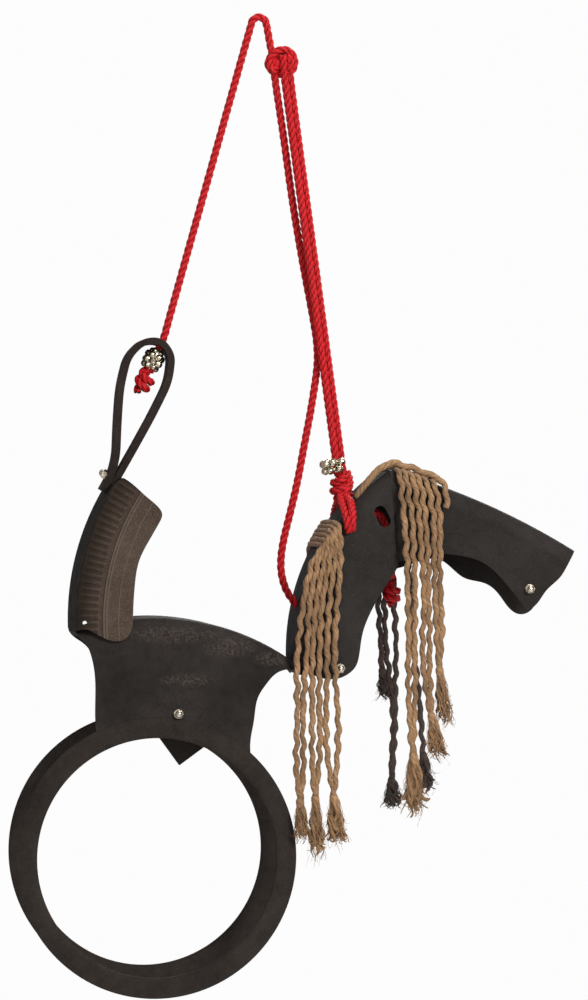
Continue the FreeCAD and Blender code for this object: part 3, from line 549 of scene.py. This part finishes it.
def rope_material(name, colour, deep, fuzz):
    """Twisted yarns: fine diagonal lines along each ply, and painted shade in the grooves between the plies."""
    n = Nodes(name)
    along, around, _ = n.split("UV")
    yarns_round = n.maths("MULTIPLY", around, 31.416)  # five yarns round a ply
    yarns = n.maths("SINE", n.maths("ADD", n.maths("MULTIPLY", along, 900.0), yarns_round))
    clouds = n.noise(70.0, 4.0)
    fibres = n.noise(900.0, 3.0, 0.6)
    base = n.mix(n.grey(yarns, 0.38, 0.0, -1.0, 0.3), colour, deep)
    base = n.mix(n.grey(clouds, 0.0, 0.5, 0.45, 0.8), base, fuzz)
    # painted shade: the valleys between the plies are darkened
    base = groove_painted_shade(n, base, darker(deep, 0.45), 0.66, 0.98)
    n.join(base, n.shader.inputs["Base Color"])
    n.join(n.grey(fibres, 0.45, 0.8, 0.3, 0.7), n.shader.inputs["Roughness"])
    n.set(Sheen_Weight=0.06, Sheen_Roughness=0.4, Sheen_Tint=(1.0, 0.2, 0.15, 1), Specular_IOR_Level=0.25)
    n.bump((yarns, 0.6, 0.0006), (fibres, 0.4, 0.0003))
    return n.material


def jute_material(name, dark, middle, light):
    """Coarse bast fibres that run along each yarn with a slow twist, from straw to brown, with painted shade between
    the plies.
    """
    n = Nodes(name)
    along, around, _ = n.split("UV")
    drawn_out = n.add("ShaderNodeCombineXYZ")
    n.join(n.maths("MULTIPLY", along, 22.0), drawn_out.inputs[0])
    across = n.maths("ADD", n.maths("MULTIPLY", around, 9.0), n.maths("MULTIPLY", along, 260.0))
    n.join(across, drawn_out.inputs[1])
    fibres = n.noise(2.2, 5.0, 0.7, drawn_out.outputs[0])
    clouds = n.noise(26.0, 3.0)
    hairs = n.noise(700.0, 4.0, 0.6)
    base = n.ramp(fibres, [(0.3, dark), (0.5, middle), (0.72, light)])
    base = n.mix(n.grey(clouds, 0.0, 0.55, 0.42, 0.72), base, dark)
    # painted shade: the valleys between the plies are darkened
    base = groove_painted_shade(n, base, dark, 0.5, 0.97)
    n.join(base, n.shader.inputs["Base Color"])
    n.set(Roughness=0.78, Sheen_Weight=0.1, Sheen_Roughness=0.5, Specular_IOR_Level=0.3)
    n.bump((fibres, 0.9, 0.0009), (hairs, 0.4, 0.0004))
    return n.material


def metal(name, colour, rough, grain):
    """Plated metal with a soft grain and a few dull patches."""
    n = Nodes(name)
    patches = n.noise(160.0, 4.0)
    fine = n.noise(grain, 2.0)
    base = n.ramp(patches, [(0.35, darker(colour, 0.72)), (0.62, colour)])
    n.join(base, n.shader.inputs["Base Color"])
    n.join(n.grey(patches, rough, rough + 0.22, 0.4, 0.75), n.shader.inputs["Roughness"])
    n.set(Metallic=1.0)
    n.bump((fine, 0.12, 0.0002))
    return n.material


def paper(name, colour, rough):
    """A plain matt surface, very faintly clouded."""
    n = Nodes(name)
    base = n.ramp(n.noise(3.0, 2.0), [(0.3, darker(colour, 0.98)), (0.7, colour)])
    n.join(base, n.shader.inputs["Base Color"])
    n.set(Roughness=rough, Specular_IOR_Level=0.2)
    return n.material


RUBBER = rubber("tyre_rubber", (0.016, 0.013, 0.0115), (0.032, 0.0255, 0.022), (0.05, 0.037, 0.029),
                rings=[HOOP_CENTRE, 0.0021, 0.15])
STRAP_RUBBER = rubber("strap_rubber", (0.017, 0.012, 0.01), (0.033, 0.024, 0.02), (0.05, 0.037, 0.03))
SADDLE_RUBBER = rubber("saddle_rubber", (0.016, 0.0135, 0.0125), (0.031, 0.026, 0.0235), (0.085, 0.064, 0.053),
                       dust_from=0.53,
                       scuffs=[(-0.15, -0.981, 0.085, 0.017), (-0.128, -1.053, 0.05, 0.013),
                               (-0.06, -1.0, 0.05, 0.02), (0.01, -1.02, 0.035, 0.014)])
SMOOTH_RUBBER = rubber("smooth_rubber", (0.019, 0.0165, 0.015), (0.031, 0.0265, 0.024), (0.05, 0.042, 0.036),
                       dust_from=0.55, rough=(0.5, 0.68))
# the backrest's tread rubber, with painted shade on its crown face, shoulder and grooves
TREAD_RUBBER = rubber("worn_tread_rubber", (0.042, 0.029, 0.022), (0.076, 0.054, 0.041), (0.135, 0.1, 0.078),
                      dust_from=0.52, ribs=BACKREST_CIRCLE)
RED = rope_material("red_rope", (0.52, 0.0045, 0.009), (0.19, 0.001, 0.002), (0.58, 0.012, 0.014))
JUTE = jute_material("jute", (0.07, 0.034, 0.014), (0.27, 0.145, 0.064), (0.62, 0.4, 0.22))
# a darker copy of the jute, used only for the far forelock's locks on the far flank
DARK_JUTE = jute_material("dark_jute", (0.016, 0.009, 0.007), (0.045, 0.027, 0.02), (0.1, 0.062, 0.045))
STEEL = metal("plated_steel", (0.6, 0.54, 0.43), 0.2, 2200.0)
NICKEL = metal("bell_nickel", (0.62, 0.555, 0.42), 0.16, 1500.0)


# ======== camera and light ========

def look(holder, place, target):
    """Puts a camera or a light at a place and points it at a target."""
    holder.location = place
    holder.rotation_euler = (Vector(target) - Vector(place)).to_track_quat("-Z", "Y").to_euler()


def add_camera():
    """Level with the swing's middle, and a little round towards its tail."""
    yaw = math.radians(8.5)
    distance = 6.0
    half_height = 0.808  # of the picture, at the target
    target = Vector((0.0572, 0, -0.7668))
    data = bpy.data.cameras.new("camera")
    data.sensor_fit = "VERTICAL"
    data.angle_y = 2 * math.atan(half_height / distance)
    data.clip_end = 60
    camera = put_in_scene(bpy.data.objects.new("camera", data))
    look(camera, target + Vector((-math.sin(yaw), -math.cos(yaw), 0)) * distance, target)
    bpy.context.scene.camera = camera


def add_light(name, place, target, size, power):
    data = bpy.data.lights.new(name, "AREA")
    data.shape = "RECTANGLE"
    data.size, data.size_y = size
    data.energy = power
    look(put_in_scene(bpy.data.objects.new(name, data)), place, target)


# each lamp's name, place, size and power
LAMPS = (("key", (1.7, -4.2, 1.0), (1.2, 1.2), 185), ("fill", (-1.2, -4.8, 0.0), (1.5, 1.5), 30),
         ("top", (0.6, -0.5, 2.4), (1.4, 1.2), 50), ("back", (1.4, 3.8, 0.9), (2.0, 1.6), 95))
LAMP_TARGET = (0.05, 0, -0.8)
SURROUND = 0.44  # how strongly the white surround lights the swing
SURROUND_SEEN = 0.54  # what is added where the camera sees it
FLOOR_Z = -1.85
FLOOR_RADIUS = 1.9
FLOOR_DEPTH = 0.02
FLOOR_HUB = 0.0002  # the disc's own middle, too small to see


def add_studio():
    for name, place, size, power in LAMPS:
        add_light(name, place, LAMP_TARGET, size, power)
    world = bpy.data.worlds.new("studio")
    world.use_nodes = True
    nodes = world.node_tree.nodes
    sky = nodes["Background"]
    sky.inputs["Color"].default_value = (1, 1, 1, 1)
    path = nodes.new("ShaderNodeLightPath")
    strength = nodes.new("ShaderNodeMath")
    strength.operation = "MULTIPLY_ADD"
    strength.inputs[1].default_value = SURROUND_SEEN
    strength.inputs[2].default_value = SURROUND
    world.node_tree.links.new(path.outputs["Is Camera Ray"], strength.inputs[0])
    world.node_tree.links.new(strength.outputs[0], sky.inputs["Strength"])
    bpy.context.scene.world = world
    bpy.context.scene.view_settings.view_transform = "Standard"
    mesh = Mesh()
    profile = [(FLOOR_HUB, 0.0), (0.6, 0.0), (FLOOR_RADIUS, 0.0), (FLOOR_RADIUS, -FLOOR_DEPTH),
               (FLOOR_HUB, -FLOOR_DEPTH)]
    mesh.lathe((0, 0, FLOOR_Z), Vector((0, 0, 1)), profile, 96)
    floor = mesh.finish("studio_floor", paper("studio_paper", (0.93, 0.93, 0.93), 0.9))


# ======== the rope ========

def rope_piece(name, points, nodes, pitch=ROPE_PITCH, body="pony"):
    """A run of red rope: the piece, its centreline and its length. Without a body, it is left unattached."""
    line, along = resample(nurbs_line(name, points), ROPE_STEP)
    mesh = Mesh()
    twist(mesh, line, along, ROPE_D, pitch)
    piece = mesh.finish(name, RED)
    if body:
        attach(piece, body)
    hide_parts(*nodes)
    return piece, line, along[-1]


# a knot's core: place along its length, and share of its width
CORE = ((-0.46, 0.12), (-0.36, 0.3), (-0.2, 0.42), (0.0, 0.46), (0.2, 0.42), (0.36, 0.3), (0.46, 0.12))


def knot_piece(name, routes, nodes, core, material, rope=ROPE_D, pitch=ROPE_PITCH):
    """A knot: its turns of rope, laid over a small core so that no daylight shows through."""
    mesh = Mesh()
    for route in routes:
        line, along = resample(nurbs_line(name, route), rope * KNOT_STEP)
        twist(mesh, line, along, rope, pitch)
    centre, axis, length, width = core
    axis = Vector(axis).normalized()
    middle = [Vector(centre) + axis * (length * k) for k, _ in CORE]
    mesh.tube(middle, [length * k for k, _ in CORE], [width * k for _, k in CORE], 16)
    piece = mesh.finish(name, material)
    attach(piece, "pony")
    if nodes:
        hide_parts(*nodes)
    return piece


# turns of the crown knot, in metres from its centre: X, Y, Z
CROWN_FRONT = [(-0.004, -0.004, -0.004), (-0.012, -0.011, -0.017), (-0.0195, -0.01, -0.008),
               (-0.0195, -0.009, 0.006), (-0.01, -0.011, 0.017), (0.004, -0.012, 0.0215), (0.0175, -0.009, 0.016),
               (0.0235, -0.006, 0.002), (0.02, -0.006, -0.012), (0.008, -0.006, -0.019), (-0.004, 0.001, -0.018)]
CROWN_BACK = [(-0.004, 0.001, -0.018), (-0.017, 0.008, -0.011), (-0.0195, 0.011, 0.005), (-0.008, 0.012, 0.018),
              (0.007, 0.011, 0.02), (0.0195, 0.01, 0.009), (0.0195, 0.01, -0.007), (0.006, 0.011, -0.018),
              (-0.01, 0.012, -0.01), (-0.006, 0.014, 0.006), (0.01, 0.014, 0.006), (0.012, 0.013, -0.01)]
CROWN_RIGHT = [(0.008, -0.009, 0.012), (0.0135, -0.0135, 0.006), (0.0155, -0.013, -0.004), (0.012, -0.009, -0.014)]

# the knots at the rope's ends: across, towards the near side, and along
STOPPER = [(-0.004, -0.002, -0.016), (0.004, 0.004, -0.012), (0.009, -0.001, -0.006), (0.004, -0.0085, -0.001),
           (-0.006, -0.0085, 0.001), (-0.01, 0.0, 0.0), (-0.004, 0.008, -0.002), (0.007, 0.007, 0.001),
           (0.0095, -0.002, 0.005), (0.002, -0.0085, 0.01), (-0.008, -0.004, 0.011), (-0.007, 0.006, 0.01),
           (0.003, 0.007, 0.011), (0.004, 0.0, 0.015), (0.001, -0.001, 0.02)]

# the front knot: a barrel of turns, a turn across it, and a loop down over the near shoulder
FRONT_AXIS = (0.12, 0, -1)
FRONT_BARREL = barrel_line((0.1345, -0.002, -0.749), FRONT_AXIS, 0.05, 0.041, ROPE_D, 2.75)
FRONT_CROSSING = [(0.146, 0.01, -0.722), (0.15, -0.006, -0.737), (0.141, -0.021, -0.753),
                  (0.133, -0.0235, -0.768), (0.1345, -0.0235, -0.781), (0.139, -0.034, -0.788)]
FRONT_LOOP = [(0.131, -0.014, -0.757), (0.129, -0.034, -0.768), (0.127, -0.064, -0.776), (0.1275, -0.086, -0.788),
              (0.129, -0.0955, -0.8), (0.131, -0.0935, -0.8125), (0.1325, -0.086, -0.8165)]


def build_ropes():
    crown_turns = [[CROWN_KNOT + Vector(p) for p in turns] for turns in (CROWN_FRONT, CROWN_BACK, CROWN_RIGHT)]
    crown = knot_piece("crown_knot", crown_turns, ["rope_crown_knot"], (CROWN_KNOT, (1, 0, 0.1), 0.046, 0.03), RED)
    rear_turns = placed(REAR_KNOT + Vector((0.004, 0, 0.001)), BELL_AXIS, STOPPER, 1.22)
    rear = knot_piece("rear_knot", [rear_turns], ["rope_rear_knot"], (REAR_KNOT, BELL_AXIS, 0.028, 0.015), RED,
                      ROPE_D, 0.03)
    front = knot_piece("front_knot", [FRONT_BARREL, FRONT_CROSSING, FRONT_LOOP], ["rope_front_knot"],
                       (FRONT_KNOT, FRONT_AXIS, 0.052, 0.03), RED)
    inner_axis, rein_axis = (0.1, 0, -1), (1, 0, -0.4)
    inner = knot_piece("inner_knot", [placed(INNER_KNOT, inner_axis, STOPPER, 1.15)], ["rope_inner_knot"],
                       (INNER_KNOT, inner_axis, 0.034, 0.015), RED, ROPE_D * 0.95)
    end = knot_piece("rein_knot", [placed(REIN_KNOT, rein_axis, STOPPER, 0.82)], ["rope_rein_knot"],
                     (REIN_KNOT, rein_axis, 0.02, 0.012), RED, ROPE_D * 0.8)
    sling, line, length = rope_piece("sling_rope", SLING, ["rope_bight", "rope_rear_leg", "rope_front_top"],
                                     body=None)
    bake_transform(sling)
    for name, points, node, pieces in (("front_rear_strand", REAR_STRAND, "rope_front_rear_strand", [crown]),
                                       ("front_fore_strand", FORE_STRAND, "rope_front_fore_strand", [front])):
        piece, line, length = rope_piece(name, points, [node])
    rein, line, length = rope_piece("rein", REIN_PATH, ["rope_rein"])
    for side, label in ((-1, "near"), (1, "far")):
        points = [(x, side * y, z) for x, y, z in YOKE_PATH]
        piece, line, length = rope_piece(f"{label}_tail", points, [f"rope_{label}_yoke"], pitch=0.03)


# ======== the bells ========

def add_bell(mesh, centre, out, radius):
    """A round jingle bell: two pressed halves with a proud seam, a dimple and a slot's edge."""
    profile = [(radius * 0.02, radius), (radius * 0.1, radius * 0.985), (radius * 0.14, radius * 0.955)]
    for k in range(3, 17):
        a = math.pi * k / 18
        r = radius * math.sin(a)
        if k in (8, 10):
            profile.append((radius * 0.99, radius * math.cos(a) * 0.7))
        elif k == 9:
            profile += [(radius * 1.06, radius * 0.05), (radius * 1.06, -radius * 0.05)]
        else:
            profile.append((r, radius * math.cos(a)))
    profile.append((radius * 0.02, -radius))
    mesh.lathe(centre, out, profile, 20)


def bell_ring(mesh, hub, axis, along, radius, size, degrees, lift=0.0):
    """Bells in one ring about an axis that runs down; degrees turn from the -X side towards the far side."""
    out = ACROSS.cross(axis).normalized()
    side = axis.cross(out)
    for a in degrees:
        radial = out * math.cos(math.radians(a)) + side * math.sin(math.radians(a))
        add_bell(mesh, Vector(hub) + axis * along + radial * radius, (radial + axis * lift).normalized(), size)


# rings of bells: distance along, ring's radius, bell's radius, how many, and the first one's turn
REAR_RINGS = ((-0.015, 0.0088, 0.0042, 5, 10), (-0.0075, 0.0116, 0.006, 6, 0),
              (0.0015, 0.0122, 0.0064, 6, 30), (0.01, 0.0102, 0.0056, 6, 0))
# the rear bells' sleeve: radius, and distance along
REAR_SLEEVE = [(0.0068, -0.0205), (0.009, -0.019), (0.0112, -0.01), (0.0118, 0.0), (0.0108, 0.009),
               (0.0088, 0.015), (0.0068, 0.0162)]
REAR_HUB = 0.0375  # from the strap's hole, along the rope
REAR_LEAN = 40  # how much a bell leans along the rope, for each metre from the hub
FRONT_HUB = (0.126189, -0.00375, -0.712135)
# the front's part rings: distance along, ring's radius, bell's radius, middle turn, and turns from that
FOUR_BELLS = [56 * i for i in (-1.5, -0.5, 0.5, 1.5)]
THREE_BELLS = [36 * i for i in (-1, 0, 1)]
FRONT_RINGS = ((-0.0068, 0.0137, 0.0064, -36, FOUR_BELLS), (0.005, 0.0137, 0.0064, -14, FOUR_BELLS),
               (-0.0052, 0.0205, 0.007, -29, THREE_BELLS), (0.006, 0.0205, 0.006, -12, THREE_BELLS))
# the front bells' clip: distance along and radius of each row
CLIP_ROWS = ((-0.01, 0.0086), (-0.0092, 0.0098), (0.0092, 0.0098), (0.01, 0.0086))


def build_bells():
    mesh = Mesh()
    hub = STRAP_HOLE + BELL_AXIS * REAR_HUB
    for along, radius, size, count, turn in REAR_RINGS:
        degrees = [turn + 360 * i / count for i in range(count)]
        bell_ring(mesh, hub, BELL_AXIS, along, radius, size, degrees, along * REAR_LEAN)
    mesh.lathe(hub, BELL_AXIS, REAR_SLEEVE, 28)
    rear = mesh.finish("rear_bell_cluster", NICKEL)
    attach(rear, "rear_bell_bunch")
    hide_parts("rear_bells", "rear_bell_pellets", "rear_bell_wires")
    mesh = Mesh()
    hub = Vector(FRONT_HUB)
    axis = (Vector(FORE_STRAND[-1]) - Vector(FORE_STRAND[3])).normalized()
    for along, radius, size, turn, places in FRONT_RINGS:
        bell_ring(mesh, hub, axis, along, radius, size, [turn + a for a in places])
    out = ACROSS.cross(axis).normalized()
    angles = [math.radians(a) for a in range(-148, 70, 8)]
    rows = [[hub + axis * along + (out * math.cos(a) + ACROSS * math.sin(a)) * radius for a in angles]
            for along, radius in CLIP_ROWS]
    mesh.grid(rows, [0.0, 0.001, 0.02, 0.021], False)
    front = mesh.finish("front_bell_cluster", NICKEL)
    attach(front, "front_bell_bunch")
    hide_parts("front_bells", "front_bell_pellets", "front_bell_wires")


# ======== the jute ========

# A tassel's thick yarns, thin yarns and loose fibres: how many, sides, kink, turn from one to the next, and the
# ranges that reach, spread, turn, thickness, curl, wave and hook are drawn from. Spread, kink, curl and the thick
# yarns' thickness are shares of the tassel's radius.
FIBRES = (
    (True, 8, 9, 0.22, 0.79, (0.74, 0.98), (0.3, 0.62), (-0.2, 0.2), (0.26, 0.36), (0.0, 0.9), (9, 14), (0.1, 0.3)),
    (False, 26, 6, 0.24, 0, (0.7, 1.0), (0.35, 0.8), (0, 6.28), (0.0011, 0.0018), (-0.2, 1.1), (9, 18), (0.05, 0.35)),
    (False, 60, 4, 0.2, 0, (0.6, 1.0), (0.45, 0.95), (0, 6.28), (0.0003, 0.0005), (-0.3, 1.2), (8, 22), (0.0, 0.35)),
)
FIBRE_STEPS = 20


def tassel(name, top, foot, radius, node, body, material, seed):
    """A lock's frayed end: a few thick twisted yarns that part into loose fibres."""
    rng = random.Random(seed)
    top, foot = Vector(top), Vector(foot)
    length = (foot - top).length
    down = (foot - top).normalized()
    side = down.cross(ACROSS).normalized()
    depth = down.cross(side)
    mesh = Mesh()

    def fibre(reach, spread, angle, thick, sides, curl, kink, wave, hook):
        line = []
        for k in range(FIBRE_STEPS + 1):
            t = k / FIBRE_STEPS
            swell = 0.3 + 0.7 * math.sin(min(1.0, t * 1.4) * math.pi * 0.5)
            out = spread * swell * (1 - 0.25 * t * t)
            turn = angle + 1.1 * t
            bend = curl * t ** 2.5
            shake = kink * min(1.0, 3 * t)
            aside = out * math.cos(turn) + bend * math.cos(angle + 1) + shake * math.sin(wave * t + angle * 3)
            inwards = out * math.sin(turn) + bend * math.sin(angle + 1) + shake * math.cos(wave * 0.9 * t + angle * 3)
            line.append(top + down * (length * reach * (t - hook * t ** 6)) + side * aside + depth * inwards)
        along = [length * reach * k / FIBRE_STEPS for k in range(FIBRE_STEPS + 1)]
        radii = [thick * (0.75 + 0.25 * math.sin(9 * k / FIBRE_STEPS + angle)) * (1 - 0.5 * (k / FIBRE_STEPS) ** 4)
                 for k in range(FIBRE_STEPS + 1)]
        mesh.tube(line, along, radii, sides)

    for is_share, count, sides, kink, step, reach, spread, turn, thick, curl, wave, hook in FIBRES:
        for i in range(count):
            fibre(rng.uniform(*reach), radius * rng.uniform(*spread), i * step + rng.uniform(*turn),
                  (radius if is_share else 1) * rng.uniform(*thick), sides, radius * rng.uniform(*curl),
                  radius * kink, rng.uniform(*wave), rng.uniform(*hook))
    collar = [top - down * 0.003, top + down * 0.002, top + down * 0.008, top + down * 0.014]
    mesh.tube(collar, [0, 0.005, 0.011, 0.017], [0.004, 0.0066, 0.0068, 0.005], 14)
    piece = mesh.finish(name, material)
    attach(piece, body)
    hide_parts(node)
    return piece


def jute_strand(name, points, material, diameter, rise, phase, seed):
    """A soft yarn: three plies that have nearly run together, with the crimp of the rope it came from."""
    rng = random.Random(seed)
    base, along = resample(nurbs_line(name, points), 0.0035)
    line = wavy(base, along, rise, rng.uniform(0.0297, 0.0303), phase + rng.uniform(-0.45, 0.45))
    line, along = resample(line, JUTE_STEP)
    mesh = Mesh()
    thick = [0.97 + 0.1 * math.sin(70 * s + seed) * math.sin(31 * s + 2 * seed) for s in along]
    twist(mesh, line, along, diameter, JUTE_PITCH, -1, thick, JUTE_LAY)
    return mesh.finish(name, material), line, along[-1]


def build_locks(label, circle, crown_xs, hanging, tassels, band_node, material, seed):
    """Locks that lie over a crown and hang down a flank; the label is their body's name too."""
    ends = [tassel(f"{label}_tassel_{i}", *t, f"{label}_tassels", label, material, seed + i)
            for i, t in enumerate(tassels, 1)]
    for i, (crown_x, points) in enumerate(zip(crown_xs, hanging), 1):
        side = -1 if points[0][1] < 0 else 1
        route = over_crown(circle, crown_x, points[0][0], side) + points
        piece, line, length = jute_strand(f"{label}_{i}", route, material, JUTE_D, JUTE_RISE, 0.0, seed + 20 + i)
        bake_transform(piece)
        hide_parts(f"{label}_strand_{i}", band_node)


def build_far_ends(label, circle, places, band_node, level=None):
    """Locks that go over the crown and end in a small knot on the far flank, at a level if one is given."""
    for i, (crown_x, end_x) in enumerate(places, 1):
        route = over_crown(circle, crown_x, end_x, 1)
        shoulder_z = crown_point(circle, crown_x, *OVER_SHOULDER[-1])[2]
        route.append((end_x, FAR_KNOT_Y, level or shoulder_z - FAR_KNOT_DROP))
        piece, line, length = jute_strand(f"{label}_{i}", route, JUTE, JUTE_D, 0.001, i, 300 + i)
        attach(piece, "pony")
        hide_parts(band_node)
        centre = Vector(route[-1]) + Vector((0, 0.0005, 0.001))
        turns = [barrel_line(centre, (0, 0, 1), 0.0125, 0.0115, 0.0052, 2.2, 14)]
        lump = knot_piece(f"{label}_knot_{i}", turns, [], (centre, (0, 0, 1), 0.011, 0.006), JUTE, 0.0052, 0.02)


def build_jute():
    build_locks("near_forelock", HEAD_CIRCLE, FORELOCK_CROWN_X, NEAR_FORELOCK, NEAR_TASSELS,
                "forelock_bands", JUTE, 100)
    build_locks("far_forelock", HEAD_CIRCLE, FAR_FORELOCK_CROWN_X, FAR_FORELOCK, FAR_TASSELS,
                "forelock_bands", DARK_JUTE, 140)
    build_locks("neck_mane", NECK_CIRCLE, NECK_CROWN_X, NECK_MANE, NECK_TASSELS,
                "neck_mane_bands", JUTE, 180)
    build_far_ends("forelock_far_end", HEAD_CIRCLE, [(0.255, 0.264), (0.269, 0.276)], "forelock_bands", -0.761)
    build_far_ends("neck_far_end", NECK_CIRCLE, [(x, x) for x in NECK_CROWN_X], "neck_mane_bands")
    for name, shift, seed in (("crest_strand_near", (0, -0.0035, -0.0015), 77),
                              ("crest_strand_far", (0.001, 0.0045, 0.0012), 78)):
        points = [tuple(Vector(p) + Vector(shift)) for p in CREST_LOCK]
        piece, line, length = jute_strand(name, points, JUTE, CREST_D, 0.0016, 1.0, seed)
        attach(piece, "pony")
        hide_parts("crest_lock")


# ======== rubber details ========

def build_hoop(name, side, node):
    """A bead ring: a rounded toe and a soft crown that falls away to the cut edge."""
    profile = [(0.1903, 0.0822), (0.1901, 0.0846), (0.19, 0.0872), (0.1906, 0.0892), (0.1924, 0.0905),
               (0.1955, 0.0911), (0.2, 0.0912), (0.206, 0.0906), (0.212, 0.0896), (0.2175, 0.0883),
               (0.2215, 0.0872), (0.2226, 0.0869), (0.223, 0.0864), (0.223, 0.0815), (0.2224, 0.0808),
               (0.218, 0.0798), (0.204, 0.0782), (0.194, 0.0784), (0.1915, 0.0798), (0.1903, 0.0822)]
    mesh = Mesh()
    mesh.lathe((HOOP_CENTRE[0], 0, HOOP_CENTRE[1]), (0, side, 0), profile, 260)
    piece = mesh.finish(name, RUBBER)
    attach(piece, "pony")
    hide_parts(node)


def paint_cad():
    """The CAD's own pieces keep their shape and get their finish."""
    finishes = {"saddle": SADDLE_RUBBER, "backrest": TREAD_RUBBER, "backrest_strap": STRAP_RUBBER,
                "neck": SMOOTH_RUBBER, "head": SMOOTH_RUBBER, "spacer_block": RUBBER}
    for node in ("body_bolt", "neck_bolt", "nose_bolt", "strap_bolt", "washers", "cap_nuts"):
        finishes[node] = STEEL
    for node, finish in finishes.items():
        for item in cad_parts[node].material_slots:
            item.material = finish


add_camera()
build_ropes()
build_bells()
build_jute()
build_hoop("near_hoop_ring", -1, "near_hoop")
build_hoop("far_hoop_ring", 1, "far_hoop")
paint_cad()
add_studio()
